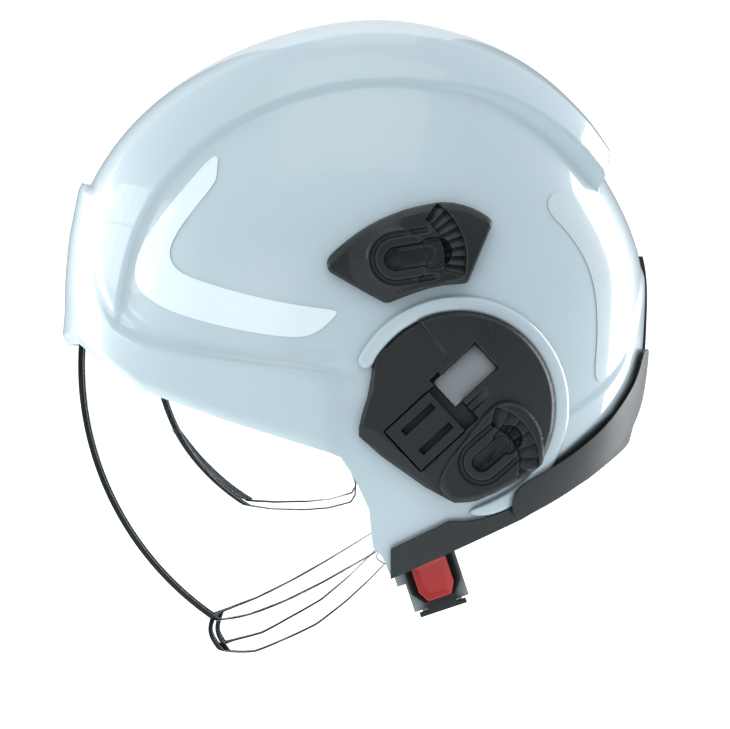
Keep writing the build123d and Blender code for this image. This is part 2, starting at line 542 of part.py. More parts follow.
def build_headband():
    rear_centre = 40.0
    band = half_ring(BAND_HALF_WIDTH, BAND_FRONT, BAND_T, True, 0, BAND_Z0, BAND_Z1)
    side = block(BAND_HALF_WIDTH - BAND_T, BAND_HALF_WIDTH, 0, 35, BAND_Z0, BAND_Z1)
    put("headband", band + side + other_side(side))
    tail_x = BAND_HALF_WIDTH - BAND_T - BAND_GAP
    sleeve = block(tail_x - BAND_T - BAND_GAP - 1.2, BAND_HALF_WIDTH + 1.4, 13, 29,
                   BAND_Z0 - 1.4, BAND_Z1 + 1.4)
    sleeve -= block(tail_x - BAND_T - BAND_GAP, BAND_HALF_WIDTH, 0, 60, BAND_Z0, BAND_Z1)
    both("headband_sleeve", sleeve)
    hanger = rod(*HANGER, HANGER_R, BAND_HALF_WIDTH + 1.4, HEAD_WALL_X + 4)
    PARTS["headband_hangers"] = Compound(label="headband_hangers",
                                         children=[one(hanger), one(other_side(one(hanger)))])
    rear = half_ring(tail_x, BAND_REAR - rear_centre, BAND_T, False, rear_centre, TAIL_Z0 - 10, TAIL_Z1)
    tail = block(tail_x - BAND_T, tail_x, 8, rear_centre, TAIL_Z0, TAIL_Z1)
    yoke = block(-18, 18, BAND_REAR - BAND_T - 3, BAND_REAR, KNOB_Z - KNOB_R - 2, TAIL_Z0)
    spindle = Pos(0, BAND_REAR, KNOB_Z) * Rot(90, 0, 0) * Cylinder(3.3, 60)
    put("rear_cradle", rear + tail + other_side(tail) + yoke - spindle)
    housing = block(-17, 17, BAND_REAR, BAND_REAR + NAPE_HOUSING_T, KNOB_Z - 12, KNOB_Z + 12)
    room = Pos(0, BAND_REAR + 2.4, KNOB_Z) * Rot(90, 0, 0) * Cylinder(7.0, 4.8)
    put("ratchet_housing", housing - room - spindle)
    pinion = Pos(0, BAND_REAR + 2.4, KNOB_Z) * Rot(90, 0, 0) * Cylinder(6.4, 4.2)
    pinion += Pos(0, BAND_REAR + NAPE_HOUSING_T / 2 - 1.5, KNOB_Z) * Rot(90, 0, 0) \
        * Cylinder(3.0, NAPE_HOUSING_T + 3.6)
    for k in range(12):
        tooth = Pos(0, BAND_REAR + 2.4, KNOB_Z) * Rot(0, k * 30, 0) * Pos(6.4, 0, 0) * Box(1.6, 10, 1.5)
        pinion -= tooth
    put("ratchet_pinion", pinion)
    knob_y = BAND_REAR + NAPE_HOUSING_T + 0.3
    knob = Pos(0, knob_y + KNOB_T / 2, KNOB_Z) * Rot(90, 0, 0) * Cylinder(KNOB_R, KNOB_T)
    for k in range(16):
        knob -= Pos(0, knob_y + KNOB_T / 2, KNOB_Z) * Rot(0, k * 22.5, 0) * Pos(KNOB_R + 0.6, 0, 0) \
            * Rot(90, 0, 0) * Cylinder(1.4, KNOB_T + 2)
    put("ratchet_knob", knob - one(PARTS["ratchet_pinion"]))

    pad_x, pad_y = BAND_HALF_WIDTH - BAND_T - 0.3, BAND_FRONT - BAND_T - 0.3
    pad = half_ring(pad_x, pad_y, PAD_T, True, 0, BAND_Z0 - 2, BAND_Z0 + 12)
    put("brow_pad", pad & block(-50, 50, -120, 0, -20, 60))
    put("nape_pad", block(-19, 19, BAND_REAR - BAND_T - 3.3 - 4, BAND_REAR - BAND_T - 3.3,
                          KNOB_Z - 12, TAIL_Z0 - 12))


def build_crown():
    y_in = BAND_FRONT - BAND_T - 2.2
    path = [(-y_in, BAND_Z0 + 13), (-y_in, BAND_Z1 - 4), (-80, 70), (-59, 96),
            (-30, CROWN_Z), (30, CROWN_Z), (62, 98), (88, 72), (98, 55)]
    long_strap = prism(strip(path, WEB_T), -WEB_W / 2, WEB_W / 2)
    put("crown_strap_long", long_strap)
    x_out = BAND_HALF_WIDTH + 0.3 + WEB_T / 2
    half = [(x_out, BAND_Z0 + 4), (x_out, BAND_Z1 + 2), (70, 74), (54, 98), (30, CROWN_Z + WEB_T + 0.3)]
    cross_path = half + [(-x, z) for x, z in reversed(half)]
    face = make_face(Plane.XZ * Polyline(*strip(cross_path, WEB_T), close=True))
    cross = extrude(face, WEB_W / 2, both=True)
    put("crown_strap_cross", cross)
    pad = Pos(0, 0, CROWN_Z - WEB_T / 2 - 0.3 - PAD_T / 2) * extrude(Ellipse(27, 27), PAD_T / 2, both=True)
    put("crown_pad", pad)


def web(y0, z0, y1, z1, width):
    """Webbing strip between two side-view points, lying along the liner."""
    d = Vector(y1 - y0, z1 - z0).normalized()
    n = Vector(-d.Y, d.X) * (width / 2)
    outline = [(y0 + n.X, z0 + n.Y), (y1 + n.X, z1 + n.Y), (y1 - n.X, z1 - n.Y), (y0 - n.X, z0 - n.Y)]
    return prism(outline, 30, 120)


def build_straps():
    layer = head_form(-0.3) - head_form(-0.3 - WEB_T)
    (fy, fz), (ry, rz) = STRAP_ANCHORS
    top = Vector(0, BUCKLE_Y, BUCKLE_Z) + BUCKLE.z_dir * (BUCKLE_H / 2)
    divider = BUCKLE * (Pos(BUCKLE_X + 2.5, 0, BUCKLE_H / 2 + 4.2) * Box(9, 27, 8))
    clear = BUCKLE * (Pos(BUCKLE_X, 0, 0) * Box(40, 60, BUCKLE_H + 0.4))
    front = (web(fy - 1, fz + 9, top.Y - 3, top.Z - 2, WEB_W) & layer) - divider - clear
    rear = (web(ry + 6, rz + 3, top.Y + 2, top.Z - 2, WEB_W - 4) & layer) - divider - clear
    front, rear = one(front), one(rear)
    rear = one(rear - prism([(fy - 40, fz + 60), (top.Y + 8, top.Z + 14), (top.Y + 6, top.Z - 40),
                             (fy - 40, fz - 80)], 0, 200))
    front = one(front - rear)
    anchors = []
    for y, z in STRAP_ANCHORS:
        x = anchor_x(y, z)
        pin = rod(y, z, 2.5, x - 8, x + 6)
        head = rod(y, z, 7.5, 20, 120) & (head_form(-0.3 - WEB_T) - head_form(-0.3 - WEB_T - 2.0))
        pin = (pin - head_form(-0.3 - WEB_T - 1.0)) + one(head)
        anchors += [one(pin), one(other_side(one(pin)))]
        front = one(front - rod(y, z, 2.5, 20, 120))
        rear = one(rear - rod(y, z, 2.5, 20, 120))
    both("front_strap", front)
    both("rear_strap", rear)
    both("strap_divider", one(divider))
    PARTS["strap_anchors"] = Compound(label="strap_anchors", children=anchors)


def build_buckle():
    def local(piece):
        return BUCKLE * piece
    half = BUCKLE_T / 2
    x0, x1 = BUCKLE_X - half, BUCKLE_X + half
    button_z = -BUCKLE_H / 2 + 1 + BUTTON_H / 2
    slot_x0, slot_x1 = x0 + 1.4, x0 + 3.9
    pocket_x = slot_x1 + 1.0
    housing = block(x0, x1, -BUCKLE_W / 2, BUCKLE_W / 2, -BUCKLE_H / 2, BUCKLE_H / 2)
    housing -= block(slot_x0, slot_x1, -TONGUE_W / 2 - 0.4, TONGUE_W / 2 + 0.4, -BUCKLE_H, 4)
    housing -= block(pocket_x, x1 + 5, -BUTTON_W / 2 - 0.3, BUTTON_W / 2 + 0.3,
                     button_z - BUTTON_H / 2 - 0.3, button_z + BUTTON_H / 2 + 0.3)
    put("buckle_housing", local(housing))
    button_x0 = pocket_x + BUTTON_TRAVEL + 0.3
    button = block(button_x0, x1 + 1.3, -BUTTON_W / 2, BUTTON_W / 2,
                   button_z - BUTTON_H / 2, button_z + BUTTON_H / 2)
    button -= Pos(button_x0, 0, button_z) * Rot(0, 90, 0) * Cylinder(3.0, 8.0)
    put("buckle_button", local(button))
    spring = Pos(pocket_x + 2.0, 0, button_z) * Rot(0, 90, 0) * Cylinder(2.5, 4.0)
    put("buckle_spring", local(spring))
    backing = block(x0 - 1.6, x0, -BUCKLE_W / 2 - 1, BUCKLE_W / 2 + 1, -BUCKLE_H / 2 - 3, BUCKLE_H / 2)
    backing += block(x0 - 1.6, x0, -BUCKLE_W / 2 - 5, -BUCKLE_W / 2 - 1, -5, 3)
    put("buckle_backing", local(backing))

    tongue_x = slot_x0 + 0.4
    low = -BUCKLE_H / 2 - 6.0
    tongue = block(tongue_x, tongue_x + TONGUE_T, -TONGUE_W / 2, TONGUE_W / 2, low, 2)
    tongue -= block(tongue_x - 1, tongue_x + 5, -4, 4, -9, -3)
    bar = block(tongue_x - 5.2, tongue_x + TONGUE_T, -WEB_W / 2 - 1.5, WEB_W / 2 + 1.5, low, low + 2.0)
    put("buckle_tongue", local(tongue + bar))

    web_z = low + 1.0
    end_x = tongue_x - 5.2
    path = [(end_x, web_z), (end_x - 3, web_z), (52, web_z - 1.0), (20, web_z - 1.6), (-20, web_z - 1.6), (-52, web_z - 1.0),
            (-66, web_z + 1.5), (-BUCKLE_X + 2.2, STRAP_PIN_Z - 1.6)]
    face = make_face(Plane.XZ * Polyline(*strip(path, WEB_T), close=True))
    strap = extrude(face, WEB_W / 2, both=True)
    loop = Pos(-BUCKLE_X, 0, STRAP_PIN_Z) * Rot(90, 0, 0) * Cylinder(3.2, WEB_W)
    strap = strap + loop - Pos(-BUCKLE_X, 0, STRAP_PIN_Z) * Rot(90, 0, 0) * Cylinder(STRAP_PIN_R + PIVOT_CLEAR, 60)
    put("chin_strap", local(strap))
    pad = block(-28, 28, -12, 12, web_z - 0.3, web_z + 6.0)
    put("chin_pad", local(fillet(pad.edges().filter_by(Axis.Z), 6)))
    anchor = block(-x1 + 1, -x0 - 1, -BUCKLE_W / 2, BUCKLE_W / 2, STRAP_PIN_Z + 4.2, BUCKLE_H / 2)
    for side in (-1, 1):
        y0, y1 = sorted((side * (WEB_W / 2 + 0.4), side * BUCKLE_W / 2))
        anchor += block(-BUCKLE_X - 3, -BUCKLE_X + 3, y0, y1, STRAP_PIN_Z - 3, STRAP_PIN_Z + 4.2)
    anchor += Pos(-BUCKLE_X, 0, STRAP_PIN_Z) * Rot(90, 0, 0) * Cylinder(STRAP_PIN_R, BUCKLE_W - 1)
    put("chin_strap_anchor", local(anchor))


def main():
    shell = build_shell()
    build_liner()
    build_rim(shell)
    build_adapters(shell)
    build_lamp_brackets()
    build_stickers()
    build_shield()
    build_eye_protector()
    build_headband()
    build_crown()
    build_straps()
    build_buckle()
    os.makedirs("parts", exist_ok=True)
    for name, piece in PARTS.items():
        export_step(piece, f"parts/{name}.step")
    print(len(PARTS), "parts written")


main()
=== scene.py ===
import math

import bmesh
import bpy
import numpy as np
from bpy.props import FloatProperty, FloatVectorProperty, IntProperty, PointerProperty
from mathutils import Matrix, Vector


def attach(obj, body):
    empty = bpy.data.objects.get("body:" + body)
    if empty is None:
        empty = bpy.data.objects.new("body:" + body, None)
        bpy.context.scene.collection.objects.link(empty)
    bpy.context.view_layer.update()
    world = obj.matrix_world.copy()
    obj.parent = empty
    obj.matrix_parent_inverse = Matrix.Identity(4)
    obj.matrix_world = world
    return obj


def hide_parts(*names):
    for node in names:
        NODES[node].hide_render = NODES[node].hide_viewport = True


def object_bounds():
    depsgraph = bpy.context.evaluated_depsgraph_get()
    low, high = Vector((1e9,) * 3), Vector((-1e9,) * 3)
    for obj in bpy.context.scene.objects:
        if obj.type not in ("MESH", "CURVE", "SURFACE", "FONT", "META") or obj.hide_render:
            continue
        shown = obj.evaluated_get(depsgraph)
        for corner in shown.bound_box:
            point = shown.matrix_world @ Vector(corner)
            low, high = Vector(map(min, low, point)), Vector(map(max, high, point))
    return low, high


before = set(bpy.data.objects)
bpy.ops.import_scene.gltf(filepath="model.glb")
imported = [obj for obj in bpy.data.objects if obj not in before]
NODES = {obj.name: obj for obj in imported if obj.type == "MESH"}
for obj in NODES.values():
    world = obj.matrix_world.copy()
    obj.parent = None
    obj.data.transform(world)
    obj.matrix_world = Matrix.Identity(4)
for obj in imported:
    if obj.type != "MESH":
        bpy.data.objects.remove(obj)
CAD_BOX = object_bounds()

bl_info = {
    "name": "Rescue helmet",
    "version": (1, 0, 0),
    "blender": (4, 5, 0),
    "location": "3D View > Sidebar > Helmet",
    "description": "Finishes a packed rescue helmet with its skin, clear visors, webbing, pads and studio",
    "category": "Add Mesh",
}

MM = 0.001

# ---- outlines shared with the solid model, millimetres -------------------------
# shell outline seen from the side: reach from the pivot axis by direction in degrees
SHELL_REACH = {0: 159, 15: 160.5, 27: 165, 40: 168, 60: 167.3, 80: 166.4, 90: 166,
               100: 163.5, 110: 159.5, 120: 153.5, 130: 147, 140: 141.5, 150: 138,
               160: 134, 170: 128, 180: 124.5, 190: 123, 200: 123.5, 222: 132, 246: 150,
               270: 165, 300: 170, 330: 166, 345: 160}
HEAD_REACH = {0: 124, 20: 127, 45: 131, 70: 131, 90: 129, 110: 127, 135: 122, 160: 114,
              180: 112, 200: 113, 222: 126, 246: 148, 270: 168, 300: 158, 325: 142, 345: 130}
CREST_LIFT = {0: 0, 90: 0, 100: 0.3, 110: 1.6, 120: 3.6, 130: 4.9, 140: 4.6, 150: 1.0, 160: 0, 345: 0}
# half width of the crest by the same directions, narrower towards its rear step
CREST_WIDTH = {0: 77, 90: 77, 100: 75, 110: 70, 122: 63, 137: 53, 150: 46, 200: 46, 345: 77}
# height of the brow guard at the front by the same directions
BROW_LIFT = {0: 1.0, 8: 1.0, 10: 1.3, 12: 2.1, 15: 3.2, 18: 4.1, 20: 4.7, 22.5: 5.6, 25: 6.2, 27.4: 7.2,
             29.8: 8.6,
             34: 8.8, 90: 8.8, 180: 1.0}
RIM = [(-200, 8), (-147.8, 10.3), (-113.9, -12), (-75.2, -25.3), (-52.5, -32.2),
       (-27.2, -40), (-21.6, -42.3), (-16.5, -49.8), (-13.2, -56.3), (-8.5, -66.5),
       (-7.6, -77.2), (-6.7, -84.2), (-2.5, -88.5), (1.5, -97.6), (62.8, -70.2),
       (95, -52.4), (114.3, -39.2), (124, -32), (200, -20)]
# the side panel's soft front and lower border
PANEL_BORDER = [(-3, 139), (-32.5, 131.3), (-64.1, 118.7), (-85.3, 107.4), (-102, 93.7),
                (-114.4, 75.8), (-122.9, 57.9), (-126.2, 44.3), (-123.1, 28.1),
                (-113.3, 19), (-94.3, 10.6), (-73.4, 7), (-50, 5.5), (-22, 6.5)]
# upper edge of the brow guard, from its lip at the front down to the ring
BROW_BORDER = [(-138, 80), (-138.9, 74), (-139.9, 59.5), (-139.0, 45.3), (-135.9, 31),
               (-129.7, 19.6), (-117.5, 11.9), (-98.4, 5.6), (-63.4, 0.2), (-40.4, -2.4), (-14, -6)]
NAPE_BAND = [(70, -30), (86, -21.5), (105.6, -7.5), (116, 8), (122, 31.5), (126, 50)]
FRONT_FILM = [(-79.1, 101.9), (-96, 82.7), (-111, 64), (-117.5, 51.9), (-118.9, 43.5),
              (-117.5, 37), (-112.8, 31.8), (-99.3, 24.3), (-74, 17.3), (-49.2, 13.1),
              (-34.7, 13.1), (-23, 23.4), (-24, 25.7), (-37.5, 27.2), (-53.4, 30),
              (-74, 35.1), (-95, 42.1), (-100.7, 47.7), (-102, 53.8), (-98.3, 62.2),
              (-90.8, 72.5), (-80.5, 85.1), (-79.6, 89.3)]
REAR_FILM = [(80, 84), (96, 70), (107, 48), (110.5, 22), (107, -4), (97, -10),
             (99.5, 18), (97, 42), (87.5, 60), (73, 74)]
DISC = (33.0, -20.0, 44.5)
# how square the dome and the clear visors are across; 2 would be round
DOME_POWER = 2.3
FACE = 116.5
BASE_EDGE = [(-6.3, 8.8), (-8.1, -10.5), (-13.2, -26.6), (-13.2, -34.4), (27.7, -63.3), (40.1, -62.8),
             (45.6, -60.5), (63.9, -50.4), (72.7, -43.6), (76.6, -30)] + [
    (33 + 44.5 * math.cos(math.radians(a)), -20 + 44.5 * math.sin(math.radians(a)))
    for a in range(-8, 141, 3)]
LAMP_EDGE = [(-27.8, 46.0), (-27.9, 48.4), (-26, 51.4), (-16, 59.8), (-6.3, 66.1), (4.5, 70.8), (15.8, 74.0),
             (27.2, 75.8), (37.8, 73.5), (46, 69.3), (48.6, 66.3), (48.0, 64.2), (37.8, 40.4), (36.8, 38.3),
             (35.0, 37.6), (24, 36.8), (12.5, 33.5), (1.6, 29.2), (0.1, 28.8), (-2.1, 29), (-26.0, 42.5),
             (-27.3, 44)]
POD_EDGE = [(20.5, -52.0), (28.1, -62.6), (36, -62.4), (46, -60.2), (60, -52.6), (70.4, -46.2), (71.6, -42.5),
            (71.3, -33), (69.0, -26.5), (64.5, -20.5), (58.6, -16.8), (52.5, -16.6), (47.5, -19.2),
            (42, -24.8)]
LAMP_AT, POD_AT = (4.0, 48.9), (43.1, -44.3)
LATCH_AT, LATCH_TURN = (17.0, -30.0), 42.7
NAPE_GUARD = [(58, -57.5), (72, -50.5), (90, -39.5), (104.5, -27.5), (116, -13), (121, -4), (124.5, 8),
              (129, 8), (128.6, -2), (127, -11), (124, -20.5), (119, -30), (112.5, -39), (104, -46.8),
              (92.5, -55),
              (77.5, -64), (58, -73.5)]
SHIELD_ROUND = (0.0, 0.0, 152.0, 104.275, 2.5)
LENS_ROUND = (-20.0, 10.0, 95.0, 79.6, 2.0)
# where the shield's lower edge runs, and how far the lip hangs below it
SHIELD_LOW = [(-4, -86.5), (-12, -91.2), (-30, -101.8), (-48, -111.4), (-66, -119.4), (-80, -123.4),
              (-92, -125.6),
              (-110, -127.5)]
LIP_DROP = [(-120, 14.5), (-85, 15), (-66, 18), (-53, 17.3), (-36, 17), (-22, 13.5), (-11, 9.4), (-4, 6)]
SHIELD_OUTLINE = [(-230, 97), (-138, 58), (-60, 34), (0, 16), (11.2, 11.2), (16, 0), (12, -12.8), (3, -45),
                  (-5, -80)] + SHIELD_LOW + [(-230, -130)]
LENS_OUTLINE = [(-150, 15), (-60, 15), (-34, 8), (-31, -10), (-22, -36), (-14.5, -56), (-14.8, -62),
                (-17, -65.6),
                (-28, -68.6), (-40, -69.7), (-56, -69.6), (-72, -68), (-90, -66), (-150, -66)]
BUCKLE_AT, BUCKLE_TILT = (20.0, -94.5), 18.4


# ---- settings a user may change -------------------------------------------------
class HelmetShellSettings(bpy.types.PropertyGroup):
    """Sizes and colours of the painted shell and its films"""
    half_width: FloatProperty(name="Half width", description="Half width of the shell over the ears",
                              default=0.113, unit="LENGTH", subtype="DISTANCE")
    wall: FloatProperty(name="Wall", description="Thickness of the shell",
                        default=0.004, unit="LENGTH", subtype="DISTANCE")
    crest: FloatProperty(name="Crest rise", description="Height of the crest over the side panels",
                         default=0.004, unit="LENGTH", subtype="DISTANCE")
    brow: FloatProperty(name="Brow rise", description="Height of the brow guard over the side panels",
                        default=0.0046, unit="LENGTH", subtype="DISTANCE")
    ring: FloatProperty(name="Ring rise", description="Height of the ring around the side adapter",
                        default=0.0032, unit="LENGTH", subtype="DISTANCE")
    film_rise: FloatProperty(name="Film rise", description="Height of the reflective film over the paint",
                             default=0.0004, unit="LENGTH", subtype="DISTANCE")
    rounds: IntProperty(name="Steps round", description="Mesh steps round the side outline", default=640,
                        min=120)
    across: IntProperty(name="Steps across", description="Mesh steps from side to side", default=360, min=80)
    paint: FloatVectorProperty(name="Paint", description="Colour of the shell", subtype="COLOR",
                               size=3, default=(0.62, 0.70, 0.745), min=0, max=1)
    film: FloatVectorProperty(name="Film", description="Colour of the reflective film", subtype="COLOR",
                              size=3, default=(0.86, 0.93, 0.95), min=0, max=1)


class HelmetHardwareSettings(bpy.types.PropertyGroup):
    """Colours of the moulded plastics, the rubber and the metal"""
    black: FloatVectorProperty(name="Adapter black", description="Colour of the moulded adapters",
                               subtype="COLOR",
                               size=3, default=(0.0115, 0.0125, 0.0135), min=0, max=1)
    rubber: FloatVectorProperty(name="Rubber", description="Colour of the rim trim", subtype="COLOR",
                                size=3, default=(0.014, 0.015, 0.016), min=0, max=1)
    window: FloatVectorProperty(name="Window grey", description="Colour of the adapter's small window",
                                subtype="COLOR",
                                size=3, default=(0.28, 0.29, 0.30), min=0, max=1)
    button: FloatVectorProperty(name="Button red", description="Colour of the buckle's button",
                                subtype="COLOR",
                                size=3, default=(0.62, 0.030, 0.028), min=0, max=1)
    backing: FloatVectorProperty(name="Backing grey", description="Colour of the buckle's backing",
                                 subtype="COLOR",
                                 size=3, default=(0.42, 0.45, 0.47), min=0, max=1)
    steel: FloatVectorProperty(name="Steel", description="Colour of screws and rivets", subtype="COLOR",
                               size=3, default=(0.55, 0.55, 0.56), min=0, max=1)


class HelmetVisorSettings(bpy.types.PropertyGroup):
    """Looks of the clear face shield and eye protector"""
    tint: FloatVectorProperty(name="Tint", description="Colour of light through the clear plastic",
                              subtype="COLOR",
                              size=3, default=(0.96, 0.985, 0.99), min=0, max=1)
    # Painted shade: colour given to the clear plastic at shallow angles and along its cut edges, standing in for
    # refraction.
    edge_painted_shade: FloatVectorProperty(name="Edge",
                                   description="Colour seen through the clear plastic at a shallow angle",
                                   subtype="COLOR", size=3, default=(0.004, 0.005, 0.006), min=0, max=1)
    edge_start: FloatProperty(name="Edge start",
                              description="How shallow the angle is where the dark edge starts",
                              default=0.745, min=0.3, max=0.98)


class HelmetSoftSettings(bpy.types.PropertyGroup):
    """Sizes and colours of webbing and pads"""
    web_width: FloatProperty(name="Webbing width", description="Width of the crown and chin webbing",
                             default=0.020, unit="LENGTH", subtype="DISTANCE")
    web_thick: FloatProperty(name="Webbing thickness", description="Thickness of the webbing",
                             default=0.0016, unit="LENGTH", subtype="DISTANCE")
    swell: FloatProperty(name="Pad swell", description="Furthest that a pad's cloth may move as it fills",
                         default=0.0009, unit="LENGTH", subtype="DISTANCE")
    webbing: FloatVectorProperty(name="Webbing", description="Colour of the webbing", subtype="COLOR",
                                 size=3, default=(0.022, 0.024, 0.027), min=0, max=1)
    fabric: FloatVectorProperty(name="Pad fabric", description="Colour of the pads' cloth", subtype="COLOR",
                                size=3, default=(0.045, 0.048, 0.052), min=0, max=1)
    foam: FloatVectorProperty(name="Liner foam", description="Colour of the foam liner", subtype="COLOR",
                              size=3, default=(0.030, 0.032, 0.034), min=0, max=1)


class HelmetStageSettings(bpy.types.PropertyGroup):
    """Camera and studio light"""
    lens: FloatProperty(name="Lens", description="Camera's focal length", default=151.7, unit="CAMERA")
    distance: FloatProperty(name="Distance", description="From the camera to the helmet's mid-plane",
                            default=1.525, unit="LENGTH", subtype="DISTANCE")
    aim_y: FloatProperty(name="Aim along", description="Point that the camera looks at, front to rear",
                         default=-0.0104, unit="LENGTH", subtype="DISTANCE")
    aim_z: FloatProperty(name="Aim height", description="Height of the point that the camera looks at",
                         default=0.0005, unit="LENGTH", subtype="DISTANCE")
    drop: FloatProperty(name="Floor drop", description="How far the floor lies below the helmet",
                        default=0.25, unit="LENGTH", subtype="DISTANCE")
    room: FloatVectorProperty(name="Room light", description="Colour of the room's even light",
                              subtype="COLOR",
                              size=3, default=(0.54, 0.615, 0.655), min=0, max=1)
    power: FloatProperty(name="Light strength", description="Strength of all the lamps together",
                         default=1.0, min=0.0, max=10.0)


SETTINGS = {"helmet_shell": HelmetShellSettings, "helmet_hardware": HelmetHardwareSettings,
            "helmet_visor": HelmetVisorSettings, "helmet_soft": HelmetSoftSettings,
            "helmet_stage": HelmetStageSettings}


# ---- shader maths ----------------------------------------------------------------
class Amount:
    """A number that changes over a surface; plain arithmetic on it adds Math nodes"""

    def __init__(self, finish, socket):
        self.finish, self.socket = finish, socket

    def _math(self, operation, *values, clamp=False):
        made = self.finish.node("ShaderNodeMath", {"operation": operation, "use_clamp": clamp},
                                dict(enumerate(values)))
        return Amount(self.finish, made.outputs[0])

    def __add__(self, other): return self._math("ADD", self, other)
    def __radd__(self, other): return self._math("ADD", other, self)
    def __sub__(self, other): return self._math("SUBTRACT", self, other)
    def __rsub__(self, other): return self._math("SUBTRACT", other, self)
    def __mul__(self, other): return self._math("MULTIPLY", self, other)
    def __rmul__(self, other): return self._math("MULTIPLY", other, self)
    def __truediv__(self, other): return self._math("DIVIDE", self, other)
    def __rtruediv__(self, other): return self._math("DIVIDE", other, self)
    def __pow__(self, other): return self._math("POWER", self, other)
    def __abs__(self): return self._math("ABSOLUTE", self)

    def held(self):
        """The same amount kept between 0 and 1"""
        return self._math("ADD", self, 0.0, clamp=True)

    def wave(self):
        return self._math("SINE", self)

    def step(self, low, high):
        """0 below low, 1 above high, and smooth between"""
        made = self.finish.node("ShaderNodeMapRange", {"interpolation_type": "SMOOTHSTEP"},
                                {"Value": self, "From Min": low, "From Max": high})
        return Amount(self.finish, made.outputs["Result"])


class Finish:
    """A node material around one Principled shader"""

    def __init__(self, name, **constants):
        self.material = bpy.data.materials.new(name)
        self.material.use_nodes = True
        self.tree = self.material.node_tree
        self.tree.nodes.clear()
        self.shader = self.node("ShaderNodeBsdfPrincipled", None, constants)
        self.output = self.node("ShaderNodeOutputMaterial", None, {"Surface": self.shader.outputs[0]})
        self.place = self.node("ShaderNodeTexCoord").outputs["Object"]

    def node(self, kind, settings=None, values=None):
        made = self.tree.nodes.new(kind)
        for name, value in (settings or {}).items():
            if name == "stops":
                ramp = made.color_ramp
                while len(ramp.elements) < len(value):
                    ramp.elements.new(0.5)
                for element, (at, colour) in zip(ramp.elements, value):
                    element.position, element.color = at, (*colour, 1.0)
            else:
                setattr(made, name, value)
        for name, value in (values or {}).items():
            self.feed(made.inputs[name], value)
        return made

    def feed(self, socket, value):
        if isinstance(value, Amount):
            value = value.socket
        if isinstance(value, bpy.types.NodeSocket):
            self.tree.links.new(value, socket)
        elif hasattr(value, "__len__") and len(value) == 3 and socket.type == "RGBA":
            socket.default_value = (*value, 1.0)
        else:
            socket.default_value = value

    def stretched(self, x=1.0, y=1.0, z=1.0, turn=(0.0, 0.0, 0.0)):
        """The helmet's own coordinates, turned and scaled"""
        return self.node("ShaderNodeMapping", {"vector_type": "TEXTURE"},
                         {"Vector": self.place, "Rotation": turn, "Scale": (x, y, z)}).outputs[0]

    def noise(self, scale, detail=3.0, roughness=0.5, place=None):
        made = self.node("ShaderNodeTexNoise", None, {"Vector": place or self.place, "Scale": scale,
                                                      "Detail": detail, "Roughness": roughness})
        return Amount(self, made.outputs[0])

    def cells(self, scale, feature="F1", place=None):
        made = self.node("ShaderNodeTexVoronoi", {"feature": feature},
                         {"Vector": place or self.place, "Scale": scale})
        return Amount(self, made.outputs[0])

    def coordinate(self, axis, place=None):
        split = self.node("ShaderNodeSeparateXYZ", None, {0: place or self.place})
        return Amount(self, split.outputs[axis])

    def mix(self, share, first, second):
        made = self.node("ShaderNodeMix", {"data_type": "RGBA"}, {0: share, 6: first, 7: second})
        return made.outputs[2]

    def bumped(self, height, depth, strength=1.0, below=None):
        values = {"Height": height, "Distance": depth, "Strength": strength}
        if below is not None:
            values["Normal"] = below
        return self.node("ShaderNodeBump", None, values).outputs[0]

    def rounded(self, radius):
        """Normals that look as if sharp edges were rounded"""
        return self.node("ShaderNodeBevel", {"samples": 6}, {"Radius": radius}).outputs[0]

    def facing(self, blend=0.5):
        return Amount(self, self.node("ShaderNodeLayerWeight", None, {"Blend": blend}).outputs["Facing"])

    def covered(self, share, colour):
        """Lays a plain matt colour over the finish"""
        matt = self.node("ShaderNodeBsdfDiffuse", None, {"Color": colour})
        mixed = self.node("ShaderNodeMixShader", None,
                          {0: share, 1: self.shader.outputs[0], 2: matt.outputs[0]})
        self.feed(self.output.inputs["Surface"], mixed.outputs[0])

    def looks(self, **values):
        for name, value in values.items():
            self.feed(self.shader.inputs[name.replace("_", " ")], value)
        return self.material


FINISHES = {}


def shade(colour, share):
    return tuple(min(1.0, c * share) for c in colour)


